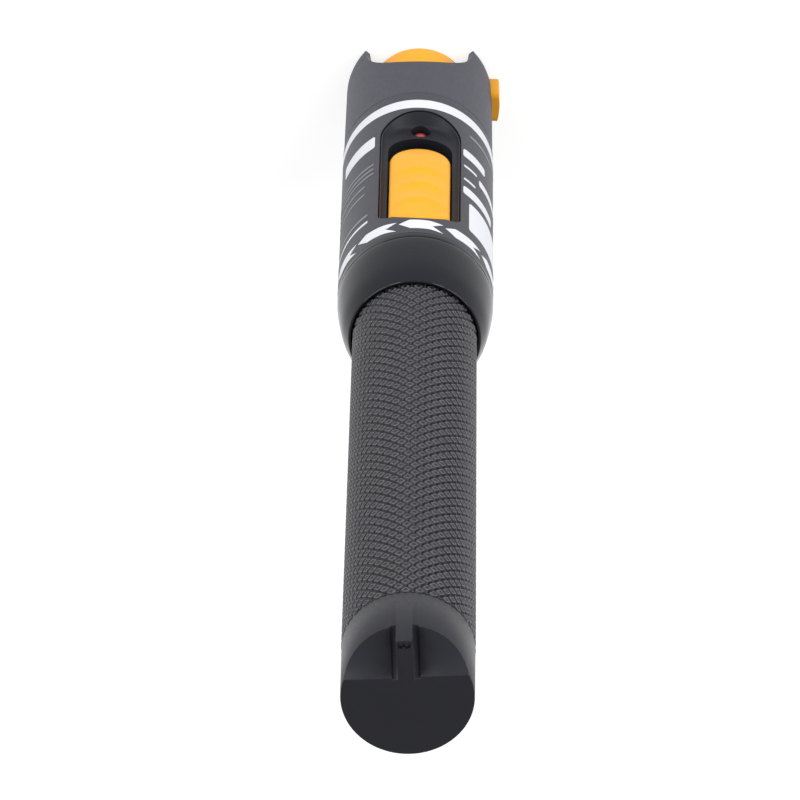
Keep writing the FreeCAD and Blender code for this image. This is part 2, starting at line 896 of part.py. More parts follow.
def make_slide_knob():
    """Orange thumb slide: crowned, round in front, with three curved grip ridges."""
    half, front, rear = S["knob_half_width"], knob_front, knob_rear
    height = S["knob_top_level"] - carrier_top
    heel = rear - half * half / (2 * S["knob_heel_radius"])
    plan = [
        (-half, front + half, half),
        (0, front, half),
        (half, front + half),
        (half, heel, S["knob_heel_radius"]),
        (0, rear, S["knob_heel_radius"]),
        (-half, heel),
    ]
    block = padded("knob_block", "XZ_Plane", carrier_top, plan, height)
    crown = cylinder(
        "knob_crown",
        S["knob_crown_radius"],
        rear - front + 2 * S["overcut"],
        (0, S["knob_crown_radius"] - S["knob_top_level"], front - S["overcut"]),
    )
    crowned = common("knob_crowned", block, crown)
    radius = S["knob_crown_radius"]
    crown_drop = radius - (radius * radius - half * half).root()
    shoulder = (S["knob_top_level"] - crown_drop - S["running_gap"]).value

    def is_top_edge(edge):
        return all(-vertex.Point.y > shoulder for vertex in edge.Vertexes)

    bevelled = chamfer("knob_bevelled", crowned, S["knob_edge_bevel"], is_top_edge)
    ridges = [
        make_knob_ridge(i, S["knob_ridge_first"] + i * S["knob_ridge_pitch"])
        for i in range(3)
    ]
    pegs = [
        box(f"knob_peg_{i}", (-S["peg_size"] / 2, -carrier_top, start), peg_sides)
        for i, start in enumerate(peg_fronts)
    ]
    return keep("slide_knob", fuse("knob_whole", bevelled, *ridges, *pegs))


def make_slide_carrier():
    """Plate under the deck that holds the knob in and drives the switch lever."""
    half = S["carrier_half_width"]
    level = -carrier_top
    plate = box(
        "carrier_plate",
        (-half, level, knob_front),
        (2 * half, S["carrier_thickness"], carrier_rear - knob_front),
    )
    depth = S["carrier_thickness"] + 2 * S["overcut"]
    peg_hole = S["peg_size"] + 2 * S["press_gap"]
    holes = [
        box(
            f"carrier_peg_hole_{i}",
            (-peg_hole / 2, level - S["overcut"], start - S["press_gap"]),
            (peg_hole, depth, peg_hole),
        )
        for i, start in enumerate(peg_fronts)
    ]
    hole_side = S["lever_width"] + 2 * S["press_gap"]
    lever_hole = box(
        "carrier_lever_hole",
        (-hole_side / 2, level - S["overcut"], lever_rear + S["press_gap"] - hole_side),
        (hole_side, depth, hole_side),
    )
    return keep("slide_carrier", cut("carrier_whole", plate, *holes, lever_hole))


def make_switch_lever():
    """Square peg that reaches from the carrier into the slot of the slide switch."""
    lever_foot = switch_top - S["switch_slot_depth"] + S["slide_gap"]
    lever = box(
        "lever_bar",
        (-S["lever_width"] / 2, -S["lever_top_level"], lever_rear - S["lever_width"]),
        (S["lever_width"], S["lever_top_level"] - lever_foot, S["lever_width"]),
    )
    return keep("switch_lever", lever)


def make_switch_body():
    """Three-position slide switch soldered on the board."""
    can = box(
        "switch_can",
        (-S["switch_half_width"], -switch_top, switch_rear - S["switch_length"]),
        (2 * S["switch_half_width"], S["switch_height"], S["switch_length"]),
    )
    slot = box(
        "switch_slot",
        (-S["lever_width"] / 2 - S["slide_gap"], -switch_top - S["overcut"], switch_slot_front),
        (S["lever_width"] + 2 * S["slide_gap"], S["switch_slot_depth"] + S["overcut"], switch_slot_length),
    )
    return keep("switch_body", cut("switch_whole", can, slot))


# ---------------------------------------------------------------- board


def make_circuit_board():
    """Laser driver board, on the cross-bars of the cradle."""
    plate = box(
        "board_plate",
        (-S["board_half_width"], -board_top, S["board_front"]),
        (2 * S["board_half_width"], S["board_thickness"], board_rear - S["board_front"]),
    )
    return keep("circuit_board", plate)


def make_driver_chip():
    chip = box(
        "chip_block",
        (S["chip_offset"], -board_top - S["chip_height"], switch_rear + S["chip_gap"]),
        (S["chip_length"], S["chip_height"], S["chip_length"]),
    )
    return keep("driver_chip", chip)


def make_indicator_led():
    """Round red lamp under the hole in the ledge, on two leads from the board."""
    station, base, bevel = S["led_station"], S["led_base_level"], S["led_tip_bevel"]
    barrel = cylinder("led_barrel", S["led_radius"], S["led_tip_level"] - base, (0, -base, station), "-y")
    tip = S["led_tip_level"].value

    def is_tip_edge(edge):
        return all(abs(-vertex.Point.y - tip) < bevel.value / 2 for vertex in edge.Vertexes)

    lens = chamfer("led_lens", barrel, bevel, is_tip_edge)
    size = S["led_lead_size"]
    leads = [
        box(
            f"led_lead_{i}",
            (side * S["led_lead_spacing"] / 2 - size / 2, -base - size, station - size / 2),
            (size, base + size - board_top, size),
        )
        for i, side in enumerate((-1, 1))
    ]
    return keep("indicator_led", fuse("led_whole", lens, *leads))


def make_board_cradle():
    """Half-round cradle that lies in the bore, carries the board and hugs the laser barrel."""
    outer = S["cradle_radius"]
    front = S["laser_rear"] - S["cradle_saddle_length"]
    rear = insulator_front - S["cradle_rear_gap"]
    saddle_rear = S["laser_rear"] + S["seat_gap"]
    inner = outer - S["cradle_wall"]
    hugging = S["laser_radius"] + S["running_gap"]
    shell = turned(
        "cradle_shell",
        [
            (hugging, front),
            (outer, front),
            (outer, rear),
            (inner, rear),
            (inner, saddle_rear),
            (hugging, saddle_rear),
        ],
    )
    bar_half = inner + S["cradle_wall"] / 4
    bar_fronts = (
        S["board_front"] + S["crossbar_front_inset"],
        board_rear - S["crossbar_rear_inset"] - S["crossbar_length"],
    )
    bars = [
        box(
            f"cradle_bar_{i}",
            (-bar_half, -S["board_level"], start),
            (2 * bar_half, S["crossbar_depth"], S["crossbar_length"]),
        )
        for i, start in enumerate(bar_fronts)
    ]
    upper = box(
        "cradle_upper_space",
        (-outer, -outer - S["board_level"], front),
        (2 * outer, outer, rear - front),
    )
    solid = fuse("cradle_solid", shell, *bars)
    return keep("board_cradle", cut("cradle_whole", solid, upper))


# ---------------------------------------------------------------- contacts, cells, handle


def make_contact_insulator():
    """Disc that closes the head behind the cradle and carries the contact."""
    thickness = S["insulator_thickness"]
    disc = cylinder("insulator_disc", S["insulator_radius"], thickness, (0, 0, insulator_front))
    return keep("contact_insulator", disc)


def make_front_contact():
    """Brass stud that meets the front cell's positive end."""
    rear = insulator_front + S["insulator_thickness"]
    stud = cylinder("contact_stud", S["contact_radius"], S["contact_height"], (0, 0, rear))
    return keep("front_contact", stud)


def make_cell(label, front):
    """Penlight cell, its positive end towards the nose."""
    rear = front + S["cell_length"]
    shoulder = front + S["cell_nub_height"]
    outline = [
        (0, front),
        (S["cell_nub_radius"], front),
        (S["cell_nub_radius"], shoulder),
        (S["cell_radius"], shoulder),
        (S["cell_radius"], rear),
        (0, rear),
    ]
    return keep(label, turned(label + "_can", outline))


def make_handle_tube():
    """Aluminium tube for the cells, threaded at both ends; its knurl is surface texture."""
    tail_thread = S["tail_thread_radius"] + S["running_gap"]
    tail_seat = tail_front - S["seat_gap"]
    thread_start = tail_front - S["tail_thread_length"] - S["tail_thread_relief"]
    outline = [
        (S["tube_bore_radius"], tube_front),
        (S["grip_radius"], tube_front),
        (S["grip_radius"], tail_seat),
        (tail_thread, tail_seat),
        (tail_thread, thread_start),
        (S["tube_bore_radius"], thread_start),
    ]
    return keep("handle_tube", turned("tube_turning", outline))


# ---------------------------------------------------------------- tail


def make_tail_cap():
    """Screw cap with two scoops that leave a bridge between them, drilled for a lanyard."""
    spigot = S["tail_thread_radius"]
    inside = S["tube_bore_radius"] - S["seat_gap"]
    bevel = S["tail_edge_bevel"]
    body = turned(
        "tail_cap_body",
        [
            (0, tail_end),
            (0, tail_floor),
            (inside, tail_floor),
            (inside, tail_front - S["tail_thread_length"]),
            (spigot, tail_front - S["tail_thread_length"]),
            (spigot, tail_front),
            (S["tail_radius"], tail_front),
            (S["tail_radius"], tail_end - bevel),
            (S["tail_radius"] - bevel, tail_end),
        ],
    )
    scoop = new_sketch(body, "scoop", "YZ_Plane", S["bridge_width"] / 2)
    draw_circle(scoop, -S["scoop_offset"], tail_end + S["scoop_overshoot"], S["scoop_radius"])
    mirror(body, pocket(body, scoop, reverse=True), "YZ_Plane")
    hole = new_sketch(body, "lanyard_hole", "YZ_Plane")
    station = tail_end - S["lanyard_hole_depth"]
    draw_circle(hole, -S["lanyard_hole_level"], station, S["lanyard_hole_radius"])
    pocket(body, hole, both_ways=True)
    # worn notch in the outer corner of the bridge
    nick = new_sketch(body, "bridge_nick", "YZ_Plane", S["bridge_width"] / 2 - S["bridge_nick_width"])
    low = tail_end - S["bridge_nick_depth"]
    slope = S["bridge_nick_slope"]
    outside = -S["tail_radius"] - S["overcut"]
    draw_outline(
        nick,
        [
            (-S["bridge_nick_level"], tail_end + S["overcut"]),
            (-S["bridge_nick_level"] - slope, low),
            (outside, low - slope),
            (outside, tail_end + S["overcut"]),
        ],
    )
    pocket(body, nick, reverse=True)
    body.Placement = FreeCAD.Placement(V(0, 0, 0), FreeCAD.Rotation(V(0, 0, 1), S["tail_turn_angle"].value))
    return keep("tail_cap", body)


def make_tail_spring():
    """Coil spring of square wire between the rear cell and the floor of the tail cap."""
    wire = S["spring_wire_size"].value
    radius = S["spring_coil_radius"].value
    turns = S["spring_turns"].value
    low = (cells_rear + S["running_gap"]).value + wire
    rise = (tail_floor - S["running_gap"]).value - wire - low
    corners = int(turns * COIL_SIDES)
    step = 2 * math.pi / COIL_SIDES
    path = Part.makePolygon(
        [
            V(radius * math.cos(i * step), radius * math.sin(i * step), low + rise * i / corners)
            for i in range(corners + 1)
        ]
    )
    corner = V(radius - wire / 2, 0, low + wire / 2)
    section = Part.makePlane(wire, wire, corner, V(0, 1, 0), V(1, 0, 0))
    spring = doc.addObject("Part::Feature", "spring_wire")
    spring.Shape = Part.Wire(path.Edges).makePipeShell([section.Wires[0]], True, True, 1)
    return keep("tail_spring", spring)


# ---------------------------------------------------------------- build, check, write


def build():
    make_nose_collar()
    make_cap_hinge()
    make_hinge_pin()
    make_dust_cap()
    make_port_barrel()
    make_port_nut()
    make_ceramic_sleeve()
    make_laser_housing()
    make_focus_lens()
    make_laser_diode()
    make_head_housing()
    make_slide_knob()
    make_slide_carrier()
    make_switch_lever()
    make_switch_body()
    make_circuit_board()
    make_driver_chip()
    make_indicator_led()
    make_board_cradle()
    make_contact_insulator()
    make_front_contact()
    make_cell("battery_front", cells_front)
    make_cell("battery_rear", cells_front + S["cell_length"])
    make_handle_tube()
    make_tail_cap()
    make_tail_spring()
    doc.recompute()


def check_and_write():
    for item in doc.Objects:
        if {"Invalid", "Error"} & set(item.State):
            raise RuntimeError(f"{item.Label} failed: {item.State}")
    os.makedirs("parts", exist_ok=True)
    for item in PARTS:
        shape = item.Shape
        if shape.isNull() or not shape.isValid() or not shape.Solids:
            raise RuntimeError(f"{item.Label} has no valid solid")
        print(f"{item.Label:18s} solids {len(shape.Solids)}  volume {shape.Volume:9.2f}")
        shape.exportStep(f"parts/{item.Label}.step")


build()
check_and_write()
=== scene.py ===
import math

import bmesh
import bpy
from mathutils import Matrix, Vector


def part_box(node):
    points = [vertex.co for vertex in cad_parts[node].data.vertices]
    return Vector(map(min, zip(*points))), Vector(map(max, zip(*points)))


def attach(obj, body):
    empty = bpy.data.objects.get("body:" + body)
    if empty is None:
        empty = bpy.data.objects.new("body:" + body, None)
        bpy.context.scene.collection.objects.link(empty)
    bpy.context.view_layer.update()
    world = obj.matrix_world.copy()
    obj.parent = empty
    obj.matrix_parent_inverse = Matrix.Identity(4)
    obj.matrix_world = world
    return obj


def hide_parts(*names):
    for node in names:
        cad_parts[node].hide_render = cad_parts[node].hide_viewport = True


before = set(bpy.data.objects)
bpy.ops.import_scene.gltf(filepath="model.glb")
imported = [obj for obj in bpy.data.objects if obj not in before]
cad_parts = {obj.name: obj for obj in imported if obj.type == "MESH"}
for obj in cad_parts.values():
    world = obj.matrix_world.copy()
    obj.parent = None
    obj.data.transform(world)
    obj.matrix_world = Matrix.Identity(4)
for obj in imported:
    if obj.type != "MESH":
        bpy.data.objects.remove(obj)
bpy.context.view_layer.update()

bl_info = {
    "name": "Visual Fault Locator",
    "version": (1, 0, 0),
    "blender": (4, 5, 0),
    "location": "View3D > Sidebar > Fault Locator",
    "description": "Dresses the pen-shaped fibre tester: nose, head, knurled grip and tail",
    "category": "Object",
}

# The tool stands nose down: Z runs along its axis from the nose rim to the tail. The slide
# switch faces -Y. Sizes in this file are millimetres until a mesh is made; lamps stand in metres.
# On the barrel, "round" is the distance along the surface from the switch line, positive
# towards -X, and a "level" is a distance from the axis towards the switch.

MM = 0.001


def box_mm(node):
    low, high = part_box(node)
    return [c / MM for c in low], [c / MM for c in high]


COLLAR_LOW, COLLAR_HIGH = box_mm("nose_collar")
HEAD_LOW, HEAD_HIGH = box_mm("head_housing")
KNOB_LOW, KNOB_HIGH = box_mm("slide_knob")
TUBE_LOW, TUBE_HIGH = box_mm("handle_tube")
TAIL_LOW, TAIL_HIGH = box_mm("tail_cap")
CAP_LOW, CAP_HIGH = box_mm("dust_cap")
LED_LOW, LED_HIGH = box_mm("indicator_led")

SEGMENTS = 160
TAIL_END = TAIL_HIGH[2]
GRIP_FRONT = HEAD_HIGH[2]
HEAD_FRONT = COLLAR_HIGH[2] + 0.1


# ---------------------------------------------------------------- settings


class LocatorShape(bpy.types.PropertyGroup):
    """Sizes of the dressed pieces, in millimetres."""

    edge_round: bpy.props.FloatProperty(
        name="Edge rounding", description="Bevel on moulded edges", default=0.18, min=0.02, max=1.0
    )
    film_radius: bpy.props.FloatProperty(
        name="Film radius", description="Outside of the printed film", default=12.93, min=12.7, max=13.1
    )
    knurl_pitch: bpy.props.FloatProperty(
        name="Knurl pitch", description="Length of one diamond along the grip", default=2.41, min=1.5, max=3.5
    )
    knurl_depth: bpy.props.FloatProperty(
        name="Knurl depth", description="Depth of the knurl's grooves", default=0.38, min=0.05, max=0.5
    )
    knurl_count: bpy.props.IntProperty(
        name="Knurl count", description="Diamonds round the grip", default=29, min=20, max=40
    )
    ridge_height: bpy.props.FloatProperty(
        name="Ridge height", description="Height of the thumb ridges", default=0.34, min=0.0, max=0.5
    )


def colour_property(name, description, default):
    return bpy.props.FloatVectorProperty(
        name=name, description=description, default=default, subtype="COLOR", size=3, min=0.0, max=1.0
    )


class LocatorColours(bpy.types.PropertyGroup):
    """Colours of the finishes, in linear light."""

    nose: colour_property("Nose plastic", "Satin grey-black of the nose", (0.062, 0.062, 0.079))
    head: colour_property("Head plastic", "Gloss black of the head and skirt", (0.009, 0.0094, 0.014))
    film: colour_property("Film", "Printed film round the head", (0.044, 0.045, 0.055))
    ink: colour_property("Ink", "White print on the film", (0.70, 0.71, 0.76))
    orange: colour_property("Orange plastic", "Thumb slide, dust cap and hinge", (0.84, 0.37, 0.016))
    knurl: colour_property("Knurled grip", "Black finish on the grip", (0.030, 0.030, 0.036))
    tail: colour_property("Tail cap", "Black finish on the tail cap", (0.020, 0.0203, 0.026))
    lamp: colour_property("Lamp", "Red lens of the indicator", (0.30, 0.02, 0.02))


def shape():
    return bpy.context.scene.locator_shape


def colours():
    return bpy.context.scene.locator_colours


# ---------------------------------------------------------------- materials


class Finish:
    """A node material that is built a step at a time."""

    def __init__(self, name, colour, roughness, metallic=0.0, specular=0.5):
        self.material = bpy.data.materials.new(name)
        self.material.use_nodes = True
        self.tree = self.material.node_tree
        self.shader = self.tree.nodes["Principled BSDF"]
        self.colour = tuple(colour)
        self.set("Base Color", (*self.colour, 1.0))
        self.set("Roughness", roughness)
        self.set("Metallic", metallic)
        self.set("Specular IOR Level", specular)
        self.material.diffuse_color = (*self.colour, 1.0)
        self.bumps = None
        self.coordinates = self.node("ShaderNodeTexCoord").outputs["Object"]

    def set(self, socket, value):
        self.shader.inputs[socket].default_value = value
        return self

    def node(self, kind, **settings):
        made = self.tree.nodes.new(kind)
        for key, value in settings.items():
            setattr(made, key, value)
        return made

    def link(self, source, target):
        self.tree.links.new(source, target)

    def noise(self, scale, detail, stretch=None):
        """Noise in the object's own space; scale is in features a millimetre."""
        texture = self.node("ShaderNodeTexNoise")
        texture.inputs["Scale"].default_value = scale / MM
        texture.inputs["Detail"].default_value = detail
        texture.inputs["Roughness"].default_value = 0.55
        source = self.coordinates
        if stretch:
            mapping = self.node("ShaderNodeMapping")
            mapping.inputs["Scale"].default_value = stretch
            self.link(source, mapping.inputs["Vector"])
            source = mapping.outputs["Vector"]
        self.link(source, texture.inputs["Vector"])
        return texture.outputs["Fac"]

    def ramp(self, source, low, high, start, end):
        remap = self.node("ShaderNodeMapRange")
        remap.inputs["From Min"].default_value = low
        remap.inputs["From Max"].default_value = high
        remap.inputs["To Min"].default_value = start
        remap.inputs["To Max"].default_value = end
        self.link(source, remap.inputs["Value"])
        return remap.outputs["Result"]

    def mottle(self, source, spread):
        """Vary the colour a little with a texture, dark to light."""
        low = tuple(max(c * (1 - spread), 0.0) for c in self.colour)
        high = tuple(min(c * (1 + spread), 1.0) for c in self.colour)
        return self.blend_colours(source, low, high)

    def blend_colours(self, source, low, high):
        mix = self.node("ShaderNodeMix", data_type="RGBA")
        colour_inputs = [s for s in mix.inputs if s.type == "RGBA"]
        colour_inputs[0].default_value = (*low, 1.0)
        colour_inputs[1].default_value = (*high, 1.0)
        self.link(source, mix.inputs["Factor"])
        result = next(s for s in mix.outputs if s.type == "RGBA")
        self.link(result, self.shader.inputs["Base Color"])
        return self

    def vary_roughness(self, source, low, high):
        self.link(self.ramp(source, 0.3, 0.7, low, high), self.shader.inputs["Roughness"])
        return self

    def bump(self, source, height):
        """Add a fine relief; height is in millimetres."""
        bump = self.node("ShaderNodeBump")
        bump.inputs["Distance"].default_value = height * MM
        bump.inputs["Strength"].default_value = 1.0
        self.link(source, bump.inputs["Height"])
        if self.bumps is not None:
            self.link(self.bumps, bump.inputs["Normal"])
        self.bumps = bump.outputs["Normal"]
        self.link(self.bumps, self.shader.inputs["Normal"])
        return self


def moulded(name, colour, roughness, grain=6.0, grain_height=0.006, spread=0.06, specular=0.15):
    """Moulded plastic: fine spark-eroded grain with slight cloudiness."""
    finish = Finish(name, colour, roughness, specular=specular)
    cloud = finish.noise(0.35, 3.0)
    finish.mottle(cloud, spread)
    finish.vary_roughness(finish.noise(1.4, 5.0), roughness - 0.04, roughness + 0.05)
    finish.bump(finish.noise(grain, 2.0), grain_height)
    return finish.material


def turned_metal(name, colour, roughness, spread=0.10):
    """Turned or plated metal with faint rings across the axis."""
    finish = Finish(name, colour, roughness, metallic=1.0)
    rings = finish.noise(3.0, 2.0, stretch=(0.08, 0.08, 1.0))
    finish.mottle(rings, spread)
    finish.vary_roughness(rings, roughness - 0.05, roughness + 0.08)
    finish.bump(rings, 0.004)
    return finish.material


def make_finishes():
    """Every finish by the name of its material slot."""
    tint = colours()
    made = {}
    made["nose_plastic"] = moulded("nose_plastic_satin", tint.nose, 0.50, 7.0, 0.010)
    made["head_plastic"] = moulded("head_plastic_gloss", tint.head, 0.14, 3.0, 0.0008, 0.05, 0.17)
    made["pocket"] = moulded("pocket_satin", tint.head, 0.5, 8.0, 0.006, 0.05, 0.2)
    made["orange_plastic"] = orange_finish(tint.orange)
    made["inner_plastic"] = moulded("inner_plastic_matt", (0.03, 0.03, 0.032), 0.55)
    made["white_ceramic"] = moulded("white_ceramic_ground", (0.80, 0.79, 0.74), 0.25, 8.0, 0.002, 0.02, 0.5)
    made["steel"] = turned_metal("steel_pin", (0.55, 0.55, 0.56), 0.28)
    made["plated_brass"] = turned_metal("nickel_plate", (0.62, 0.59, 0.53), 0.22)
    made["bare_brass"] = turned_metal("brass_turned", (0.78, 0.56, 0.24), 0.26)
    made["spring_steel"] = turned_metal("spring_wire", (0.50, 0.50, 0.52), 0.30)
    made["tube_aluminium"] = knurl_finish(tint.knurl)
    made["cap_aluminium"] = tail_finish(tint.tail)
    made["board_laminate"] = board_finish()
    made["cell_wrap"] = cell_finish()
    made["red_lens"] = lamp_finish(tint.lamp)
    made["lens_glass"] = glass_finish()
    made["film"] = film_finish(tint.film)
    made["ink"] = moulded("white_ink", tint.ink, 0.45, 5.0, 0.004, 0.02)
    made["faint_ink"] = moulded("faint_ink", (0.20, 0.205, 0.225), 0.45, 5.0, 0.004, 0.05)
    # light grey for the tail cap's bevelled edges: painted highlights along the edges
    made["painted_edge_highlight"] = moulded("tail_painted_edge_highlight", (0.20, 0.20, 0.22), 0.3, 4.0, 0.01, 0.5)
    return made


def orange_finish(colour):
    """Warm translucent-looking orange plastic with a soft satin skin."""
    finish = Finish("orange_plastic_satin", colour, 0.42, specular=0.2)
    finish.mottle(finish.noise(0.25, 2.0), 0.05)
    finish.vary_roughness(finish.noise(1.2, 4.0), 0.33, 0.43)
    finish.bump(finish.noise(5.0, 2.0), 0.006)
    finish.set("Subsurface Weight", 0.12)
    finish.set("Subsurface Scale", 0.8 * MM)
    finish.set("Subsurface Radius", (1.0, 0.45, 0.1))
    return finish.material


def film_finish(colour):
    """Printed polyester film: even satin black with a light weave of tiny pinholes."""
    finish = Finish("printed_film", colour, 0.40, specular=0.16)
    finish.mottle(finish.noise(0.6, 3.0), 0.07)
    finish.vary_roughness(finish.noise(2.5, 4.0), 0.36, 0.46)
    finish.bump(finish.noise(3.0, 3.0), 0.003)
    return finish.material


def knurl_finish(colour):
    """Black anodised knurl: painted highlights on the diamonds' rims, made stronger or weaker by a noise, and
    painted shade keeping the dishes and grooves darker.
    """
    finish = Finish("knurled_anodised", colour, 0.34, specular=0.22)
    ridge_share = finish.node("ShaderNodeAttribute", attribute_name="ridge")
    rim_highlight = finish.ramp(ridge_share.outputs["Fac"], 0.74, 1.0, 0.0, 1.0)
    # the rims' painted highlight is varied in strength here and there by a noise
    varied_rim_highlight = finish.node("ShaderNodeMath", operation="MULTIPLY")
    finish.link(rim_highlight, varied_rim_highlight.inputs[0])
    finish.link(finish.ramp(finish.noise(0.9, 4.0), 0.35, 0.75, 0.45, 1.0), varied_rim_highlight.inputs[1])
    # painted shade: dishes and grooves darker; painted highlight: rims lighter
    low = tuple(c * 0.45 for c in colour)
    high = tuple(c * 4.5 for c in colour)
    finish.blend_colours(varied_rim_highlight.outputs[0], low, high)
    finish.vary_roughness(finish.noise(4.0, 4.0), 0.28, 0.46)
    finish.bump(finish.noise(6.0, 3.0), 0.012)
    return finish.material


def tail_finish(colour):
    """Matt black anodised aluminium with dust specks and fine cutter lines."""
    finish = Finish("tail_anodised", colour, 0.36, specular=0.14)
    specks = finish.node("ShaderNodeTexVoronoi", feature="F1")
    specks.inputs["Scale"].default_value = 1.1 / MM
    finish.link(finish.coordinates, specks.inputs["Vector"])
    dust = finish.ramp(specks.outputs["Distance"], 0.06, 0.03, 0.0, 1.0)
    thin = finish.node("ShaderNodeMath", operation="MULTIPLY")
    finish.link(dust, thin.inputs[0])
    finish.link(finish.ramp(finish.noise(0.7, 1.0), 0.60, 0.66, 0.0, 0.5), thin.inputs[1])
    finish.blend_colours(thin.outputs[0], colour, tuple(c * 5 for c in colour))
    finish.vary_roughness(finish.noise(3.0, 4.0), 0.30, 0.42)
    finish.bump(finish.noise(9.0, 3.0), 0.010)
    return finish.material


def board_finish():
    """Green solder resist with copper tracks that show through it."""
    finish = Finish("board_resist", (0.02, 0.12, 0.05), 0.3)
    tracks = finish.node("ShaderNodeTexVoronoi", feature="DISTANCE_TO_EDGE", distance="MANHATTAN")
    tracks.inputs["Scale"].default_value = 0.25 / MM
    finish.link(finish.coordinates, tracks.inputs["Vector"])
    line = finish.ramp(tracks.outputs["Distance"], 0.04, 0.08, 1.0, 0.0)
    finish.blend_colours(line, (0.02, 0.12, 0.05), (0.05, 0.24, 0.08))
    finish.bump(line, 0.03)
    return finish.material


def cell_finish():
    """Printed steel jacket of a penlight cell: dark body with a bronze end."""
    finish = Finish("cell_jacket", (0.05, 0.05, 0.06), 0.3)
    split = finish.node("ShaderNodeSeparateXYZ")
    finish.link(finish.coordinates, split.inputs["Vector"])
    band_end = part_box("battery_front")[0][2] + 0.012
    band = finish.ramp(split.outputs["Z"], band_end, band_end + 0.0005, 1.0, 0.0)
    finish.blend_colours(band, (0.045, 0.047, 0.055), (0.45, 0.26, 0.10))
    finish.vary_roughness(finish.noise(1.0, 4.0), 0.22, 0.36)
    finish.bump(finish.noise(2.0, 2.0), 0.004)
    return finish.material


def lamp_finish(colour):
    """Clear red resin of the indicator."""
    finish = Finish("indicator_lens", colour, 0.18)
    finish.mottle(finish.noise(1.0, 2.0), 0.15)
    finish.set("Coat Weight", 0.6)
    finish.bump(finish.noise(2.0, 1.0), 0.01)
    return finish.material


def glass_finish():
    """Clear glass of the focus lens."""
    finish = Finish("window_glass", (0.86, 0.92, 0.95), 0.05)
    finish.set("Transmission Weight", 1.0)
    finish.bump(finish.noise(0.8, 1.0), 0.002)
    return finish.material


FINISHES = {}


def finish(name):
    if not FINISHES:
        FINISHES.update(make_finishes())
    return FINISHES[name]


# ---------------------------------------------------------------- mesh helpers


def point(radius, angle, z):
    """A point on the barrel, in metres. Angle 0 is the switch line, positive towards -X."""
    return Vector((-radius * math.sin(angle), -radius * math.cos(angle), z)) * MM


def on_face(w, level, z):
    """A point in the switch's own directions: w towards -X, level towards the switch."""
    return Vector((-w, -level, z)) * MM


def new_object(name, mesh):
    made = bpy.data.objects.new(name, mesh)
    bpy.context.scene.collection.objects.link(made)
    return made


def from_bmesh(name, bm):
    bmesh.ops.remove_doubles(bm, verts=bm.verts, dist=1e-7)
    bmesh.ops.dissolve_degenerate(bm, edges=bm.edges, dist=1e-8)
    bmesh.ops.recalc_face_normals(bm, faces=bm.faces)
    mesh = bpy.data.meshes.new(name)
    bm.to_mesh(mesh)
    bm.free()
    return new_object(name, mesh)


def grid_faces(bm, rows, closed_rows=False, closed_columns=False):
    """Faces between neighbouring rows of vertices."""
    total = len(rows)
    for r in range(total if closed_rows else total - 1):
        low, high = rows[r], rows[(r + 1) % total]
        count = len(low)
        for c in range(count if closed_columns else count - 1):
            following = (c + 1) % count
            corners = [low[c], low[following], high[following], high[c]]
            kept = [v for i, v in enumerate(corners) if v is not corners[i - 1]]
            if len(kept) > 2:
                bm.faces.new(kept)


def lathe(name, outline, segments=SEGMENTS):
    """Turn an outline of (radius, z) about the axis. It closes on itself or on the axis."""
    bm = bmesh.new()
    closed = outline[0][0] > 0 and outline[-1][0] > 0
    rows = []
    for radius, z in outline:
        if radius == 0:
            rows.append([bm.verts.new(point(0, 0, z))] * segments)
        else:
            step = 2 * math.pi / segments
            rows.append([bm.verts.new(point(radius, i * step, z)) for i in range(segments)])
    grid_faces(bm, rows, closed_rows=closed, closed_columns=True)
    return from_bmesh(name, bm)


def arc_points(centre, radius, start, end, count):
    """Points on a circle in outline space, angles in degrees."""
    points = []
    for i in range(count + 1):
        angle = math.radians(start + (end - start) * i / count)
        points.append((centre[0] + radius * math.cos(angle), centre[1] + radius * math.sin(angle)))
    return points


def prism(name, low_plan, high_plan, low_level, high_level):
    """A solid between two plans of (w, z) points, at two levels."""
    bm = bmesh.new()
    low = [bm.verts.new(on_face(w, low_level, z)) for w, z in low_plan]
    high = [bm.verts.new(on_face(w, high_level, z)) for w, z in high_plan]
    bm.faces.new(low)
    bm.faces.new(high)
    grid_faces(bm, [low, high], closed_columns=True)
    return from_bmesh(name, bm)


def bar(name, radius, start, end, segments=48):
    """A round bar between two points in millimetres."""
    start, end = Vector(start), Vector(end)
    along = end - start
    turn = along.to_track_quat("Z", "Y")
    bm = bmesh.new()
    bmesh.ops.create_cone(
        bm,
        cap_ends=True,
        segments=segments,
        radius1=radius * MM,
        radius2=radius * MM,
        depth=along.length * MM,
        matrix=Matrix.Translation((start + end) * MM / 2) @ turn.to_matrix().to_4x4(),
    )
    return from_bmesh(name, bm)


def block(name, low, high):
    """A box between two corners in millimetres."""
    bm = bmesh.new()
    bmesh.ops.create_cube(bm, size=1)
    for vertex in bm.verts:
        vertex.co = Vector([low[i] + (vertex.co[i] + 0.5) * (high[i] - low[i]) for i in range(3)]) * MM
    return from_bmesh(name, bm)


def settle(made):
    """Replace an object's mesh by the result of its modifiers."""
    graph = bpy.context.evaluated_depsgraph_get()
    mesh = bpy.data.meshes.new_from_object(made.evaluated_get(graph), depsgraph=graph)
    made.modifiers.clear()
    made.data = mesh
    return made


def combine(made, how, *tools):
    """Cut, join or keep the overlap with solids, which are used up."""
    for tool in tools:
        step = made.modifiers.new(how, "BOOLEAN")
        step.operation = how
        step.solver = "EXACT"
        step.object = tool
        settle(made)
        bpy.data.objects.remove(tool)
    return made


def round_edges(made, width, segments=3, angle=35.0, edge_slot=-1):
    bevel = made.modifiers.new("edges", "BEVEL")
    bevel.width = width * MM
    bevel.segments = segments
    bevel.limit_method = "ANGLE"
    bevel.angle_limit = math.radians(angle)
    bevel.material = edge_slot
    return made


def clean(made):
    """Join doubled points, as booleans leave them."""
    bm = bmesh.new()
    bm.from_mesh(made.data)
    bmesh.ops.remove_doubles(bm, verts=bm.verts, dist=2e-6)
    bmesh.ops.dissolve_degenerate(bm, edges=bm.edges, dist=1e-6)
    bm.to_mesh(made.data)
    bm.free()
    return made


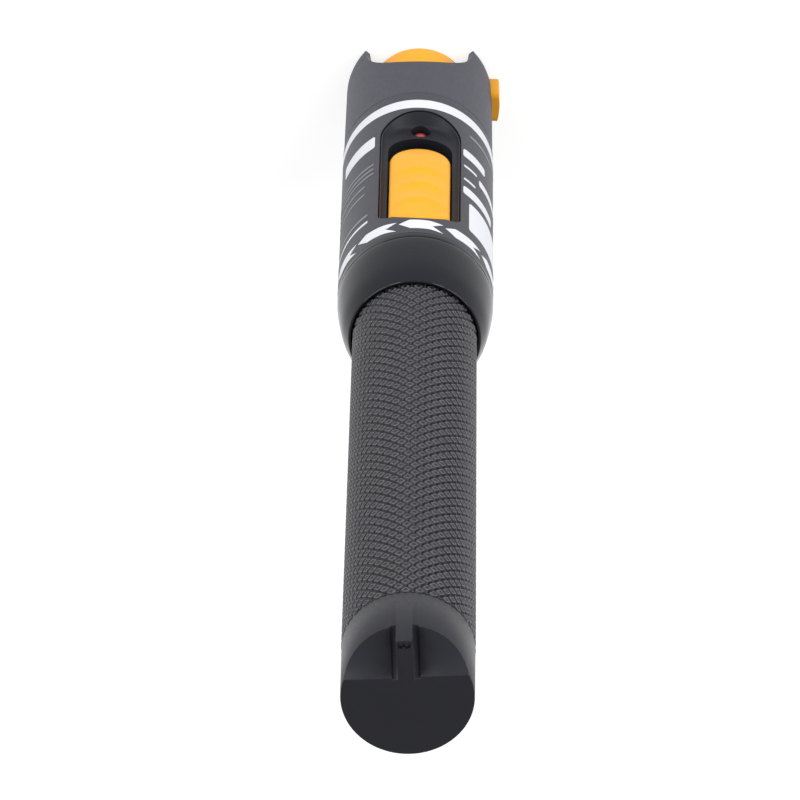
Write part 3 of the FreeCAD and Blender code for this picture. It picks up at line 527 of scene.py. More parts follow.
def smooth(made, angle=32.0):
    """Shade smooth, with edges sharper than the angle kept."""
    made.data.shade_smooth()
    made.data.set_sharp_from_angle(angle=math.radians(angle))
    return made


def dress(made, finish_name, body, replaces=()):
    made.data.materials.clear()
    made.data.materials.append(finish(finish_name))
    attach(made, body)
    if replaces:
        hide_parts(*replaces)
    return made


# ---------------------------------------------------------------- nose

FINGER_RADIUS = 24.94
FINGER_CENTRE = 33.14
BORE_RADIUS = 11.2
LIP_RADIUS = 11.55
LIP_DEPTH = 2.5
NOSE_FLOOR = 14.0
RIM_RADIUS = 12.45
EAR_ROUND = 1.2
NOSE_TURN = math.radians(-3.0)
NOTCH_HALF = 3.05
NOTCH_TOP = 3.95
CAP_RADIUS = 8.6
CAP_EDGE = 0.5
HINGE_X = -11.6
HINGE_Z = 1.9
KNUCKLE_RADIUS = 1.4
KNUCKLE_HALF = 1.2
PIN_BORE = 0.65


def finger_cut(level):
    """Height of the finger cut-out's edge at a distance from the axis, its corners rounded."""
    ear = FINGER_CENTRE - math.sqrt(FINGER_RADIUS**2 - EAR_ROUND**2)
    corner = ear - EAR_ROUND
    level = abs(level)
    if level <= corner:
        return 0.0
    if level <= ear:
        return EAR_ROUND - math.sqrt(max(EAR_ROUND**2 - (level - corner) ** 2, 0.0))
    return math.sqrt(max(FINGER_RADIUS**2 - (FINGER_CENTRE - level) ** 2, 0.0))


def nose_radius(z):
    """Outside of the nose: a light taper that rolls in at the rim."""
    roll = max(0.0, 1.0 - z / 2.6)
    return 12.74 + 0.1 * z / COLLAR_HIGH[2] - 0.6 * roll * roll


def rim_angles():
    """Column angles, closest together where the cut-outs rise steeply from the ears."""
    steep = math.acos((FINGER_CENTRE - FINGER_RADIUS) / RIM_RADIUS)
    quarter = [steep - steep * (i / 34) ** 1.8 for i in range(35)]
    turned = math.acos((FINGER_CENTRE - FINGER_RADIUS - EAR_ROUND) / RIM_RADIUS)
    quarter += [steep + (turned - steep) * (i / 14) ** 1.4 for i in range(1, 15)]
    quarter += [turned + (math.pi / 2 - turned) * i / 16 for i in range(1, 17)]
    angles = set()
    for angle in quarter:
        for image in (angle, math.pi - angle, math.pi + angle, 2 * math.pi - angle):
            angles.add(round((image + NOSE_TURN) % (2 * math.pi), 6))
    notch = math.asin(NOTCH_HALF / RIM_RADIUS)
    angles = {a for a in angles if abs(abs(a - math.pi / 2) - notch) > 0.01}
    for side in (-1, 1):
        for shift in (-0.002, 0.002):
            angles.add(math.pi / 2 + side * notch + shift)
    return sorted(angles)


def make_nose_shell():
    """The moulded nose: a thin rounded rim with two finger cut-outs and the hinge's notch."""
    rear = COLLAR_HIGH[2]
    edge = 0.3
    turns = [math.radians(90 * i / 4) for i in range(5)]
    wall_steps = 16
    notch = math.asin(NOTCH_HALF / RIM_RADIUS)
    bm = bmesh.new()
    columns = []
    for angle in rim_angles():
        lift = finger_cut(RIM_RADIUS * math.cos(angle - NOSE_TURN))
        if abs(angle - math.pi / 2) < notch:
            lift = NOTCH_TOP
        depth = min(LIP_DEPTH, NOSE_FLOOR - 0.3 - lift)
        lip = BORE_RADIUS + (LIP_RADIUS - BORE_RADIUS) * depth / LIP_DEPTH
        profile = [(BORE_RADIUS, NOSE_FLOOR), (BORE_RADIUS, lift + depth)]
        profile += [(lip - 0.02, lift + 0.12), (lip + 0.06, lift + 0.03), (lip + 0.16, lift)]
        outer = nose_radius(lift + edge)
        for turn in turns:
            profile.append((outer - edge * (1 - math.sin(turn)), lift + edge * (1 - math.cos(turn))))
        start = lift + edge
        for i in range(1, wall_steps + 1):
            z = start + (rear - 0.15 - start) * (i / wall_steps) ** 1.6
            profile.append((nose_radius(z), z))
        last = nose_radius(rear)
        profile += [(last - 0.15, rear), (11.65, rear), (11.65, 16.5), (4.2, 16.5), (4.2, NOSE_FLOOR)]
        columns.append([bm.verts.new(point(radius, angle, z)) for radius, z in profile])
    grid_faces(bm, columns, closed_rows=True, closed_columns=True)
    nose = from_bmesh("nose_shell", bm)
    smooth(nose, 38.0)
    return dress(nose, "nose_plastic", "grip", ["nose_collar"])


def make_cap_plug():
    """The flip cap: a plug with a rounded face, an arm and a knuckle round the pin."""
    radius, edge, front, rear = CAP_RADIUS, CAP_EDGE, CAP_LOW[2], CAP_HIGH[2]
    outline = [(0, front)]
    outline += arc_points((radius - edge, front + edge), edge, -90, 0, 6)
    outline += arc_points((radius - 0.25, rear - 0.25), 0.25, 0, 90, 3)
    outline += [(4.6, rear), (4.4, rear - 0.2), (4.4, 3.7), (4.2, 3.5), (0, 3.5)]
    plug = lathe("dust_cap_plug", outline, 128)
    arm = block("arm", (HINGE_X, -KNUCKLE_HALF, 0.5), (-6.4, KNUCKLE_HALF, 2.3))
    ends = (HINGE_X, -KNUCKLE_HALF, HINGE_Z), (HINGE_X, KNUCKLE_HALF, HINGE_Z)
    combine(plug, "UNION", arm, bar("knuckle", KNUCKLE_RADIUS, *ends, 48))
    combine(plug, "DIFFERENCE", bar("bore", PIN_BORE, (HINGE_X, -2, HINGE_Z), (HINGE_X, 2, HINGE_Z), 32))
    clean(plug)
    smooth(plug, 36.0)
    return dress(plug, "orange_plastic", "nose_cap", ["dust_cap"])


class OBJECT_OT_locator_nose(bpy.types.Operator):
    """Build the nose shell and the flip cap"""

    bl_idname = "object.locator_nose"
    bl_label = "Nose and dust cap"

    def execute(self, context):
        make_nose_shell()
        make_cap_plug()
        return {"FINISHED"}


# ---------------------------------------------------------------- head

LEDGE = 10.25
POCKET_HALF = 6.2
POCKET_FRONT = 34.4
POCKET_REAR = 71.8
OPENING_HALF = 5.45
OPENING_FRONT = 38.4
POCKET_FILLET = 1.2
POCKET_CORNER = 2.4
SKIRT_FRONT = 78.2
LAMP_STATION = (LED_LOW[2] + LED_HIGH[2]) / 2


def slot_plan(half, front, rear, corner, steps=28):
    """Plan of the thumb pocket: round towards the nose, its rear corners rounded."""
    plan = arc_points((0, front + half), half, 180, 360, steps)
    plan += arc_points((half - corner, rear - corner), corner, 0, 90, 6)
    plan += arc_points((corner - half, rear - corner), corner, 90, 180, 6)
    return plan


def stacked(name, rings):
    """A solid through closed rings of points, one above the other."""
    bm = bmesh.new()
    rows = [[bm.verts.new(place) for place in ring] for ring in rings]
    grid_faces(bm, rows, closed_columns=True)
    bm.faces.new(rows[0])
    bm.faces.new(rows[-1])
    return from_bmesh(name, bm)


def pocket_cutter():
    """The thumb pocket's hollow: a flat ledge, a soft fillet at its foot, then flared walls."""
    fillet, lean, outside = POCKET_FILLET, math.radians(30), 13.6
    profile = []
    for i in range(7):
        turn = math.radians(-90 + 60 * i / 6)
        profile.append((LEDGE + fillet * (1 + math.sin(turn)), fillet * math.cos(turn) - 0.66))
    level, spread = profile[-1]
    profile.append((outside, spread + (outside - level) * math.tan(lean)))
    rings = []
    for level, spread in profile:
        rear = POCKET_REAR - 0.9 + spread
        plan = slot_plan(POCKET_HALF + spread, POCKET_FRONT - spread, rear, POCKET_CORNER + spread)
        rings.append([on_face(w, level, z) for w, z in plan])
    return stacked("pocket_cutter", rings)


def make_head_shell():
    """The moulded head: barrel, thumb pocket with its ledge, and the skirt that flows from it."""
    outline = [
        (10.15, 17.0),
        (11.6, 17.0),
        (11.6, HEAD_FRONT),
        (12.79, HEAD_FRONT),
        (12.79, FILM_FRONT),
        (12.65, FILM_FRONT + 0.05),
        (12.65, FILM_REAR + 0.05),
        (12.84, FILM_REAR + 0.07),
        (12.93, FILM_REAR + 0.15),
        (12.93, SKIRT_FRONT + 0.1),
        (12.84, SKIRT_FRONT + 0.18),
        (12.84, SKIRT_FRONT + 0.36),
        (12.93, SKIRT_FRONT + 0.44),
        (12.93, 79.2),
        (12.84, 80.5),
        (12.70, 82.0),
        (12.50, 83.6),
        (12.27, 85.2),
        (11.98, 86.8),
        (11.58, 88.2),
        (11.22, 89.2),
        (10.98, 89.9),
        (10.88, GRIP_FRONT - 0.08),
        (10.80, GRIP_FRONT),
        (10.52, GRIP_FRONT),
        (10.45, GRIP_FRONT - 0.1),
        (10.45, 86.3),
        (10.15, 86.3),
    ]
    head = lathe("head_shell", outline, 192)
    deck = block("deck", (-10.4, -11.4, 31.4), (10.4, -8.2, 75.8))
    combine(deck, "INTERSECT", bar("deck_round", 11.5, (0, 0, 31.4), (0, 0, 75.8), 192))
    combine(head, "UNION", deck)
    opening_plan = slot_plan(OPENING_HALF, OPENING_FRONT, POCKET_REAR, 0.9)
    opening = prism("opening", opening_plan, opening_plan, 6.0, 11.2)
    led_hole = bar("led_hole", 1.7, (0, -6.0, LAMP_STATION), (0, -11.6, LAMP_STATION), 48)
    combine(head, "DIFFERENCE", pocket_cutter(), opening, led_hole)
    clean(head)
    round_edges(head, shape().edge_round, 3, 35.0)
    settle(head)
    smooth(head, 30.0)
    dress(head, "head_plastic", "grip", ["head_housing"])
    head.data.materials.append(finish("pocket"))
    for polygon in head.data.polygons:
        x, y, z = polygon.center / MM
        if abs(x) < 9 and y < 0 and 32 < z < 73 and math.hypot(x, y) < 12.6:
            polygon.material_index = 1
    return head


WINDOW_HALF = 6.95
WINDOW_FRONT = 32.85
WINDOW_REAR = 72.0
FILM_FRONT = HEAD_FRONT + 0.42
FILM_REAR = 77.05
WINDOW_CORNER = 2.4
WINDOW_BOW = 1.75
FILM_THICKNESS = 0.15
INK_THICKNESS = 0.035
ARROW_PITCH = 7.9


def thicken(sheet, thickness, side):
    """Turn a sheet's faces outwards and give it thickness, out (1) or in (-1)."""
    for polygon in sheet.data.polygons:
        if polygon.normal.x * polygon.center.x + polygon.normal.y * polygon.center.y < 0:
            polygon.flip()
    thick = sheet.modifiers.new("thickness", "SOLIDIFY")
    thick.thickness = thickness * MM
    thick.offset = side
    settle(sheet)
    smooth(sheet, 40.0)


def make_label_film():
    """The printed film: a thin wrap with a window for the thumb pocket."""
    radius = shape().film_radius
    half_angle = math.asin(WINDOW_HALF / radius)
    arc_end = WINDOW_FRONT + WINDOW_HALF
    corner = WINDOW_CORNER
    inner, outer = 48, 96
    bm = bmesh.new()

    def bowed(w):
        """The window's rear edge, which bows towards the tail between its round corners."""
        reach = min(abs(w), WINDOW_HALF - corner)
        return WINDOW_REAR - WINDOW_BOW * (radius - math.sqrt(radius**2 - reach**2))

    def rows_between(angles, starts, ends, steps):
        rows = []
        for i in range(steps + 1):
            share = i / steps
            row = []
            for angle, start, end in zip(angles, starts, ends):
                row.append(bm.verts.new(point(radius, angle, start + (end - start) * share)))
            rows.append(row)
        grid_faces(bm, rows)

    swing = [math.sin(math.pi * (i / inner - 0.5)) for i in range(inner + 1)]
    widths = [WINDOW_HALF * s for s in swing]
    angles = [math.asin(w / radius) for w in widths]
    front_edge = [arc_end - math.sqrt(max(WINDOW_HALF**2 - w * w, 0.0)) for w in widths]
    rear_edge = []
    for w in widths:
        over = max(abs(w) - (WINDOW_HALF - corner), 0.0)
        rear_edge.append(bowed(w) - corner + math.sqrt(max(corner * corner - over * over, 0.0)))
    rows_between(angles, [FILM_FRONT] * (inner + 1), front_edge, 12)
    rows_between(angles, rear_edge, [FILM_REAR] * (inner + 1), 6)
    wide = [half_angle + (2 * math.pi - 2 * half_angle) * i / outer for i in range(outer + 1)]
    corner_start = bowed(WINDOW_HALF) - corner
    lengths = ((FILM_FRONT, arc_end, 12), (arc_end, corner_start, 20), (corner_start, FILM_REAR, 6))
    for low, high, steps in lengths:
        rows_between(wide, [low] * (outer + 1), [high] * (outer + 1), steps)
    film = from_bmesh("label_film", bm)
    thicken(film, FILM_THICKNESS, -1.0)
    return dress(film, "film", "grip")


def wrap_print(name, outlines, radius, finish_name):
    """Ink on the barrel: outlines of (round, z) in millimetres, wrapped on a radius."""
    bm = bmesh.new()
    for outline in outlines:
        bm.faces.new([bm.verts.new(Vector((u, z, 0))) for u, z in outline])
    bmesh.ops.triangulate(bm, faces=bm.faces)
    left = min(v.co.x for v in bm.verts)
    right = max(v.co.x for v in bm.verts)
    stripes = int((right - left) / 0.45)
    for i in range(1, stripes):
        at = Vector((left + (right - left) * i / stripes, 0, 0))
        bmesh.ops.bisect_plane(
            bm, geom=bm.verts[:] + bm.edges[:] + bm.faces[:], plane_co=at, plane_no=Vector((1, 0, 0))
        )
    for vertex in bm.verts:
        vertex.co = point(radius, vertex.co.x / radius, vertex.co.y)
    printed = from_bmesh(name, bm)
    thicken(printed, INK_THICKNESS, 1.0)
    return dress(printed, finish_name, "grip")


def rounded_patch(left, right, low, high, corner, steps=5):
    """Outline of a rectangle with rounded corners."""
    outline = arc_points((right - corner, low + corner), corner, -90, 0, steps)
    outline += arc_points((right - corner, high - corner), corner, 0, 90, steps)
    outline += arc_points((left + corner, high - corner), corner, 90, 180, steps)
    outline += arc_points((left + corner, low + corner), corner, 180, 270, steps)
    return outline


# one arrow of the band in convex pieces of (round, z)
ARROW = [
    [(0.0, 1.2), (1.8, 0.0), (1.95, 2.9)],
    [(1.8, 0.0), (5.4, 0.1), (5.6, 1.75), (5.25, 2.95), (1.95, 2.9)],
    [(5.4, 0.1), (7.5, 0.5), (5.6, 1.75)],
    [(5.6, 1.75), (7.45, 3.4), (5.25, 2.95)],
]


def make_print():
    """White print: the ring, the band of arrows, bars and patches."""
    radius = shape().film_radius + 0.002
    raised = radius + INK_THICKNESS
    ring = lathe("white_ring", [(radius, 29.1), (raised, 29.12), (raised, 32.0), (radius, 32.02)])
    smooth(ring, 40.0)
    dress(ring, "ink", "grip")
    arrows = []
    for i in range(-4, 6):
        for part in ARROW:
            arrows.append([(i * ARROW_PITCH - 3.45 + u, 72.65 + v) for u, v in part])
    wrap_print("arrow_band", arrows, radius, "ink")
    patches = [
        rounded_patch(-16.6, -8.3, 38.6, 42.6, 0.5),
        rounded_patch(9.1, 24.0, 60.1, 69.7, 0.7),
        rounded_patch(7.75, 13.4, 41.9, 44.6, 0.6),
        rounded_patch(7.8, 16.2, 55.3, 58.0, 0.6),
        rounded_patch(11.6, 20.0, 48.3, 50.4, 0.5),
    ]
    wrap_print("print_patches", patches, radius, "ink")
    bars = [
        rounded_patch(-24.0, -9.3, 67.9, 68.6, 0.3),
        rounded_patch(7.9, 11.0, 47.6, 48.3, 0.3),
        rounded_patch(7.9, 10.6, 52.3, 53.0, 0.3),
    ]
    wrap_print("print_bars", bars, radius, "ink")
    faint = [rounded_patch(-20.0, -8.4, z, z + 0.55, 0.2) for z in (48.4, 50.0, 51.6)]
    faint += [rounded_patch(-20.0, -10.2, z, z + 0.6, 0.2) for z in (54.4, 57.2)]
    faint += [rounded_patch(9.2, 19.0, 35.3, 36.2, 0.3), rounded_patch(-18.0, -9.4, 65.4, 66.2, 0.3)]
    wrap_print("print_faint_bars", faint, radius, "faint_ink")


def make_lamp_lens():
    """The indicator's red dome."""
    radius, tip, base = 1.5, 9.9, 6.5
    outline = [(0, base), (radius, base)]
    outline += arc_points((0, tip - radius), radius, 0, 90, 10)
    outline[-1] = (0, tip)
    lens = lathe("indicator_dome", outline, 48)
    turn = Matrix.Rotation(math.radians(90), 4, "X")
    lens.data.transform(Matrix.Translation((0, 0, LAMP_STATION * MM)) @ turn)
    smooth(lens, 40.0)
    return dress(lens, "red_lens", "grip", ["indicator_led"])


class OBJECT_OT_locator_head(bpy.types.Operator):
    """Build the head shell, the film with its print, and the indicator"""

    bl_idname = "object.locator_head"
    bl_label = "Head, film and lamp"

    def execute(self, context):
        make_head_shell()
        make_label_film()
        make_print()
        make_lamp_lens()
        return {"FINISHED"}


# ---------------------------------------------------------------- thumb slide

KNOB_HALF = 5.11
KNOB_TOP = 12.4
KNOB_CROWN = 13.0
HEEL_CROWN = 11.0
RIDGE_FIRST = 52.6
RIDGE_PITCH = 5.6
RIDGE_SWEEP = 7.0
RIDGE_REACH = 4.6
KNOB_EDGE = 0.75
KNOB_BASE = 8.05
KNOB_SLOPE = 1.45
SLOPE_LENGTH = 7.5
END_LENGTH = 1.6


def knob_level(w, z, front, rear):
    """Height of the slide's top: a sloping front, a crown, three curved ridges, round edges."""
    level = KNOB_TOP - w * w / (2 * KNOB_CROWN)
    slope = max(0.0, 1.0 - (z - front) / SLOPE_LENGTH)
    level -= KNOB_SLOPE * slope * slope
    for i in range(3):
        station = RIDGE_FIRST + i * RIDGE_PITCH + RIDGE_SWEEP
        away = RIDGE_SWEEP - math.hypot(w, z - station)
        if z > station or abs(w) > RIDGE_REACH:
            continue
        fade = 1 - (abs(w) / RIDGE_REACH) ** 2
        away -= 0.45
        near = away / (0.55 if away > 0 else 1.5)
        level += shape().ridge_height * fade * math.exp(-near * near)
    heel = rear - w * w / HEEL_CROWN
    inside = min(KNOB_HALF - abs(w), heel - z)
    if z < front + KNOB_HALF:
        inside = min(inside, KNOB_HALF - math.hypot(w, z - front - KNOB_HALF))
    if inside < KNOB_EDGE:
        dip = KNOB_EDGE - max(inside, 0.0)
        level -= KNOB_EDGE - math.sqrt(max(KNOB_EDGE * KNOB_EDGE - dip * dip, 0.0))
    return level


def make_thumb_slide():
    """The orange thumb slide: a crowned top on upright sides, rounded towards the nose."""
    front, rear = KNOB_LOW[2], KNOB_HIGH[2]
    across = 44
    stations = [front + KNOB_HALF * (1 - math.cos(math.pi / 2 * i / 24)) for i in range(25)]
    straight = rear - END_LENGTH - stations[-1]
    stations += [stations[-1] + straight * i / 72 for i in range(1, 73)]
    ends = [0.25, 0.45, 0.62, 0.76, 0.87, 0.95, 1.0]
    stations += [rear - END_LENGTH + END_LENGTH * share for share in ends]
    swing = [math.sin(math.pi * (i / across - 0.5)) for i in range(across + 1)]
    bm = bmesh.new()
    rows = []
    for z in stations:
        reach = KNOB_HALF
        if z < front + KNOB_HALF:
            reach = math.sqrt(max(KNOB_HALF**2 - (front + KNOB_HALF - z) ** 2, 0.0))
        row = []
        for s in swing:
            w = s * reach
            sag = w * w / HEEL_CROWN * max(0.0, (z - (rear - 8)) / 8)
            spot = z - sag
            row.append(bm.verts.new(on_face(w, knob_level(w, spot, front, rear), spot)))
        rows.append(row)
    grid_faces(bm, rows)
    bmesh.ops.remove_doubles(bm, verts=bm.verts, dist=1e-7)
    border = [e for e in bm.edges if e.is_boundary]
    made = bmesh.ops.extrude_edge_only(bm, edges=border)
    low = [v for v in made["geom"] if isinstance(v, bmesh.types.BMVert)]
    for vertex in low:
        vertex.co.y = -KNOB_BASE * MM
    bmesh.ops.contextual_create(bm, geom=[e for e in made["geom"] if isinstance(e, bmesh.types.BMEdge)])
    slide = from_bmesh("thumb_slide", bm)
    smooth(slide, 50.0)
    return dress(slide, "orange_plastic", "slider", ["slide_knob"])


class OBJECT_OT_locator_slide(bpy.types.Operator):
    """Build the thumb slide"""

    bl_idname = "object.locator_slide"
    bl_label = "Thumb slide"

    def execute(self, context):
        make_thumb_slide()
        return {"FINISHED"}


# ---------------------------------------------------------------- grip

# heights in a diamond, as shares of the knurl's depth
SHALLOW_GROOVE = 0.35
DISH = 0.72
CUT_END = 0.3


def make_knurled_grip():
    """The battery tube with its diamond knurl: dished diamonds with crisp rims and dark grooves; each
    corner's height share goes to the finish, which paints highlights on the rims and shade in the dishes and
    grooves.
    """
    radius = TUBE_HIGH[0] + 0.12
    pitch, depth, count = shape().knurl_pitch, shape().knurl_depth, shape().knurl_count
    low, high = GRIP_FRONT - 1.6, TUBE_HIGH[2]
    # lines across one diamond: the groove's floor, a rim, the dish, the other rim
    shares = [0.0, 0.13, 0.26, 0.42, 0.72, 0.87]
    groove, rim = (0, 1), (2, 5)
    per = len(shares)
    bm = bmesh.new()
    # height share of each corner, which the knurl finish turns into painted highlights on the rims and
    # painted shade elsewhere
    ridge = bm.verts.layers.float.new("ridge")

    def line(index):
        whole, part = divmod(index, per)
        return whole + shares[part]

    def height(i, j):
        """Share of the full height; one family of grooves is cut deeper than the other."""
        left, right = i % per, j % per
        if left in groove:
            return 0.0
        if right in groove:
            return SHALLOW_GROOVE
        return 1.0 if left in rim or right in rim else DISH

    around = per * count
    first = int(low / (pitch / 2) * per) - per
    last = int(high / (pitch / 2) * per) + per
    table = {}

    def corner(i, j):
        # once round the tube adds the same number of lines to both families
        turns = (i + j) // (2 * around)
        key = (i - turns * around, j - turns * around)
        if key not in table:
            a, b = line(i), line(j)
            angle = (a + b) / 2 * 2 * math.pi / count
            z = (a - b) / 2 * pitch
            top = height(i, j)
            vertex = bm.verts.new(point(radius - depth * (1 - top), angle, z))
            vertex[ridge] = top
            table[key] = vertex
        return table[key]

    for total in range(2 * around):
        for gap in range(first, last):
            if (total + gap) % 2:
                continue
            i, j = (total + gap) // 2, (total - gap) // 2
            z = (line(i) - line(j)) / 2 * pitch
            if not low - pitch < z < high + pitch:
                continue
            bm.faces.new([corner(i, j), corner(i + 1, j), corner(i + 1, j + 1), corner(i, j + 1)])
    for plane, keep_side in ((low, -1), (high, 1)):
        result = bmesh.ops.bisect_plane(
            bm,
            geom=bm.verts[:] + bm.edges[:] + bm.faces[:],
            plane_co=Vector((0, 0, plane * MM)),
            plane_no=Vector((0, 0, keep_side)),
            clear_outer=True,
        )
        edges = [e for e in result["geom_cut"] if isinstance(e, bmesh.types.BMEdge)]
        inner = 8.8 if plane == high else 7.6
        made = bmesh.ops.extrude_edge_only(bm, edges=edges)
        for vertex in [v for v in made["geom"] if isinstance(v, bmesh.types.BMVert)]:
            flat = Vector((vertex.co.x, vertex.co.y, 0)).normalized() * inner * MM
            vertex.co.x, vertex.co.y = flat.x, flat.y
            vertex[ridge] = CUT_END
    grip = from_bmesh("knurled_grip", bm)
    smooth(grip, 40.0)
    return dress(grip, "tube_aluminium", "grip", ["handle_tube"])


class OBJECT_OT_locator_grip(bpy.types.Operator):
    """Build the knurled battery tube"""

    bl_idname = "object.locator_grip"
    bl_label = "Knurled grip"

    def execute(self, context):
        make_knurled_grip()
        return {"FINISHED"}


# ---------------------------------------------------------------- tail

TAIL_LENGTH = 13.7
NECK_LENGTH = 10.3
NECK_RADIUS = 8.7
SCOOP_RADIUS = 8.5
SCOOP_LEVEL = -11.0
CHANNEL_RADIUS = 8.82
CHANNEL_WIDTH = 0.95
HALF_BRIDGE = 1.225
BRIDGE_TURN = math.radians(6.0)

# chipped places on the bridge's end: across, level, width and reach
NICKS = (
    (-0.75, 9.15, 0.42, 0.9),
    (-0.35, 8.85, 0.50, 0.5),
    (0.05, 9.25, 0.45, 0.75),
    (0.45, 8.95, 0.40, 0.6),
    (0.8, 9.2, 0.36, 1.0),
)


def make_tail_body():
    """The screw cap: two scoops leave a bridge between them, drilled for a lanyard."""
    front = TAIL_END - TAIL_LENGTH
    floor = TAIL_END - 11.0
    outline = [
        (0, TAIL_END),
        (9.88, TAIL_END),
        (10.02, TAIL_END - 0.05),
        (10.1, TAIL_END - 0.22),
        (10.16, front + 0.2),
        (10.08, front + 0.05),
        (NECK_RADIUS, front + 0.05),
        (NECK_RADIUS, front - NECK_LENGTH),
        (7.5, front - NECK_LENGTH),
        (7.5, floor),
        (0, floor),
    ]
    tail = lathe("tail_body", outline, 192)
    cutter_z = TAIL_END + 4.2
    cuts = []
    for side in (-1, 1):
        near = (side * HALF_BRIDGE, SCOOP_LEVEL, cutter_z)
        far = (side * 14.0, SCOOP_LEVEL, cutter_z)
        step = (side * (HALF_BRIDGE + CHANNEL_WIDTH), SCOOP_LEVEL, cutter_z)
        cuts.append(bar("scoop", SCOOP_RADIUS, near, far, 160))
        cuts.append(bar("channel", CHANNEL_RADIUS, near, step, 160))
    hole_z = TAIL_END - 1.95
    cuts.append(bar("lanyard_hole", 1.0, (-4.0, -7.4, hole_z), (4.0, -7.4, hole_z), 40))
    for w, level, width, reach in NICKS:
        low = (w - width / 2, -level - reach / 2, TAIL_END - 0.35)
        cuts.append(block("nick", low, (w + width / 2, -level + reach / 2, TAIL_END + 0.5)))
    combine(tail, "DIFFERENCE", *cuts)
    clean(tail)
    tail.data.transform(Matrix.Rotation(BRIDGE_TURN, 4, "Z"))
    tail.data.materials.append(finish("cap_aluminium"))
    # the bevels take the light grey finish, a painted highlight along every edge
    tail.data.materials.append(finish("painted_edge_highlight"))
    round_edges(tail, 0.10, 2, 40.0, edge_slot=1)
    settle(tail)
    smooth(tail, 35.0)
    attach(tail, "tail")
    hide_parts("tail_cap")
    return tail


class OBJECT_OT_locator_tail(bpy.types.Operator):
    """Build the tail cap"""

    bl_idname = "object.locator_tail"
    bl_label = "Tail cap"

    def execute(self, context):
        make_tail_body()
        return {"FINISHED"}


# ---------------------------------------------------------------- kept nodes

KEPT = {
    "cap_hinge": "orange_plastic",
    "hinge_pin": "steel",
    "port_barrel": "plated_brass",
    "port_nut": "plated_brass",
    "ceramic_sleeve": "white_ceramic",
    "laser_housing": "bare_brass",
    "focus_lens": "lens_glass",
    "laser_diode": "bare_brass",
    "slide_carrier": "inner_plastic",
    "switch_lever": "inner_plastic",
    "switch_body": "inner_plastic",
    "circuit_board": "board_laminate",
    "driver_chip": "inner_plastic",
    "board_cradle": "inner_plastic",
    "contact_insulator": "inner_plastic",
    "front_contact": "bare_brass",
    "battery_front": "cell_wrap",
    "battery_rear": "cell_wrap",
    "tail_spring": "spring_steel",
}


class OBJECT_OT_locator_inside(bpy.types.Operator):
    """Give the parts kept from the frame their finishes"""

    bl_idname = "object.locator_inside"
    bl_label = "Inner parts"

    def execute(self, context):
        for node, finish_name in KEPT.items():
            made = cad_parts[node]
            if not made.material_slots:
                made.data.materials.append(finish(finish_name))
            for slot in made.material_slots:
                slot.material = finish(finish_name)
        return {"FINISHED"}


# ---------------------------------------------------------------- stage

CAMERA_POSITION = (17.09, -518.03, 1017.2)
CAMERA_FORWARD = Vector((-0.01429, 0.4960, -0.8682))
CAMERA_UP = Vector((0.04838, -0.86692, -0.49608))
CAMERA_LENS = 290.9
FLOOR_GLOW = 0.68
ROOM_LIGHT = 0.46


def make_camera():
    data = bpy.data.cameras.new("view")
    data.lens = CAMERA_LENS
    data.sensor_width = 36
    data.clip_start = 0.01
    data.clip_end = 20
    camera = new_object("view", data)
    back = -CAMERA_FORWARD.normalized()
    right = CAMERA_UP.cross(back).normalized()
    up = back.cross(right)
    turn = Matrix((right, up, back)).transposed().to_4x4()
    camera.matrix_world = Matrix.Translation(Vector(CAMERA_POSITION) * MM) @ turn
    bpy.context.scene.camera = camera


def seen_directly(tree):
    """A socket that is 1 for the rays that should meet a white background."""
    paths = tree.nodes.new("ShaderNodeLightPath")
    seen = paths.outputs["Is Camera Ray"]
    for kind in ("Is Glossy Ray", "Is Transmission Ray"):
        either = tree.nodes.new("ShaderNodeMath")
        either.operation = "MAXIMUM"
        tree.links.new(seen, either.inputs[0])
        tree.links.new(paths.outputs[kind], either.inputs[1])
        seen = either.outputs[0]
    return seen


def make_floor():
    """Pale floor that shows as white where it is lit, and keeps the shadow."""
    bm = bmesh.new()
    bmesh.ops.create_grid(bm, x_segments=8, y_segments=8, size=3.0)
    floor = from_bmesh("floor", bm)
    paint = Finish("floor_paint", (0.5, 0.5, 0.5), 0.9, specular=0.1)
    paint.mottle(paint.noise(0.02, 2.0), 0.01)
    gain = paint.node("ShaderNodeMath", operation="MULTIPLY")
    gain.inputs[1].default_value = FLOOR_GLOW
    paint.link(seen_directly(paint.tree), gain.inputs[0])
    paint.set("Emission Color", (1.0, 1.0, 1.0, 1.0))
    paint.link(gain.outputs[0], paint.shader.inputs["Emission Strength"])
    floor.data.materials.append(paint.material)


def make_world():
    """Soft even room light, white where it is seen."""
    world = bpy.data.worlds.new("soft_room")
    world.use_nodes = True
    tree = world.node_tree
    background = tree.nodes["Background"]
    background.inputs["Color"].default_value = (1.0, 1.0, 1.0, 1.0)
    mix = tree.nodes.new("ShaderNodeMapRange")
    mix.inputs["To Min"].default_value = ROOM_LIGHT
    mix.inputs["To Max"].default_value = 1.0
    tree.links.new(seen_directly(tree), mix.inputs["Value"])
    tree.links.new(mix.outputs["Result"], background.inputs["Strength"])
    bpy.context.scene.world = world


def add_lamp(name, position, target, size, watts, size_y=None):
    data = bpy.data.lights.new(name, "AREA")
    data.shape = "RECTANGLE"
    data.size = size
    data.size_y = size_y or size
    data.energy = watts
    lamp = new_object(name, data)
    lamp.location = position
    lamp.rotation_euler = (Vector(target) - Vector(position)).to_track_quat("-Z", "Y").to_euler()
    return lamp


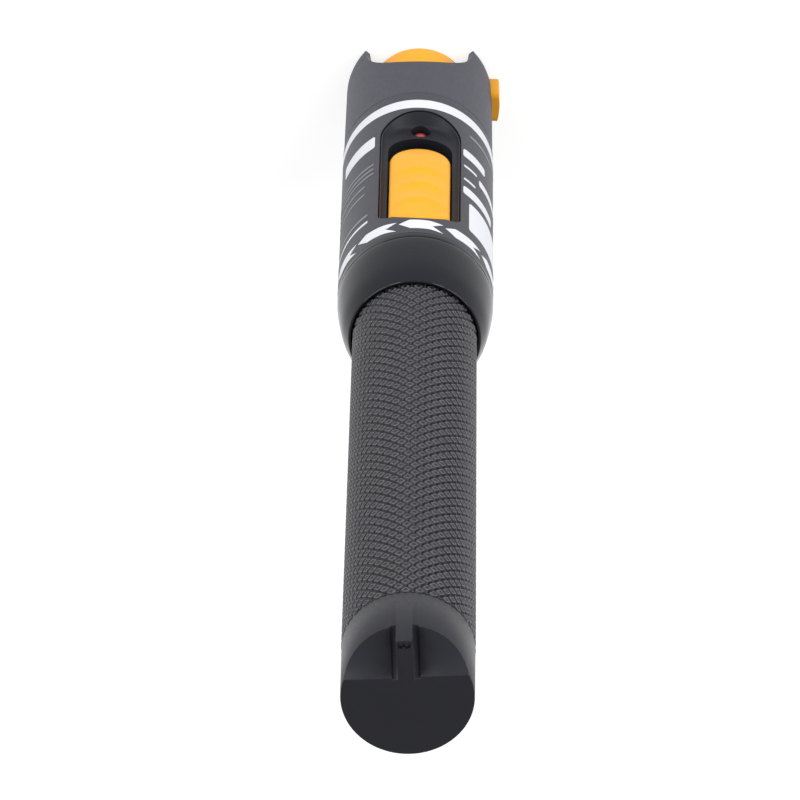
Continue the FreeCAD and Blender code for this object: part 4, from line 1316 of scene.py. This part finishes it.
def make_lamps():
    middle = (0.0, 0.0, 0.1)
    add_lamp("key", (-1.05, -0.66, 0.45), middle, 0.8, 10.5)
    add_lamp("fill", (1.05, -0.66, 0.42), middle, 0.8, 9.0)
    for side in (-1, 1):
        add_lamp("strip", (side * 0.39, -0.70, 0.20), (0.0, 0.0, 0.09), 0.20, 1.4, 0.26)


class OBJECT_OT_locator_stage(bpy.types.Operator):
    """Set the floor, the light and the view"""

    bl_idname = "object.locator_stage"
    bl_label = "Floor, light and view"

    def execute(self, context):
        make_camera()
        make_floor()
        make_world()
        make_lamps()
        context.scene.view_settings.view_transform = "Standard"
        return {"FINISHED"}


STEPS = (
    OBJECT_OT_locator_nose,
    OBJECT_OT_locator_head,
    OBJECT_OT_locator_slide,
    OBJECT_OT_locator_grip,
    OBJECT_OT_locator_tail,
    OBJECT_OT_locator_inside,
    OBJECT_OT_locator_stage,
)


class VIEW3D_PT_fault_locator(bpy.types.Panel):
    """Sizes, colours and steps of the fault locator"""

    bl_label = "Fault Locator"
    bl_idname = "VIEW3D_PT_fault_locator"
    bl_space_type = "VIEW_3D"
    bl_region_type = "UI"
    bl_category = "Fault Locator"

    def draw(self, context):
        layout = self.layout
        for group in (context.scene.locator_shape, context.scene.locator_colours):
            for name in group.__annotations__:
                layout.prop(group, name)
        for step in STEPS:
            layout.operator(step.bl_idname)


CLASSES = (LocatorShape, LocatorColours, *STEPS, VIEW3D_PT_fault_locator)


def register():
    for item in CLASSES:
        bpy.utils.register_class(item)
    bpy.types.Scene.locator_shape = bpy.props.PointerProperty(type=LocatorShape)
    bpy.types.Scene.locator_colours = bpy.props.PointerProperty(type=LocatorColours)


def unregister():
    del bpy.types.Scene.locator_colours
    del bpy.types.Scene.locator_shape
    for item in reversed(CLASSES):
        bpy.utils.unregister_class(item)


def main():
    register()
    bpy.ops.object.locator_nose()
    bpy.ops.object.locator_head()
    bpy.ops.object.locator_slide()
    bpy.ops.object.locator_grip()
    bpy.ops.object.locator_tail()
    bpy.ops.object.locator_inside()
    bpy.ops.object.locator_stage()


if __name__ == "__main__":
    main()
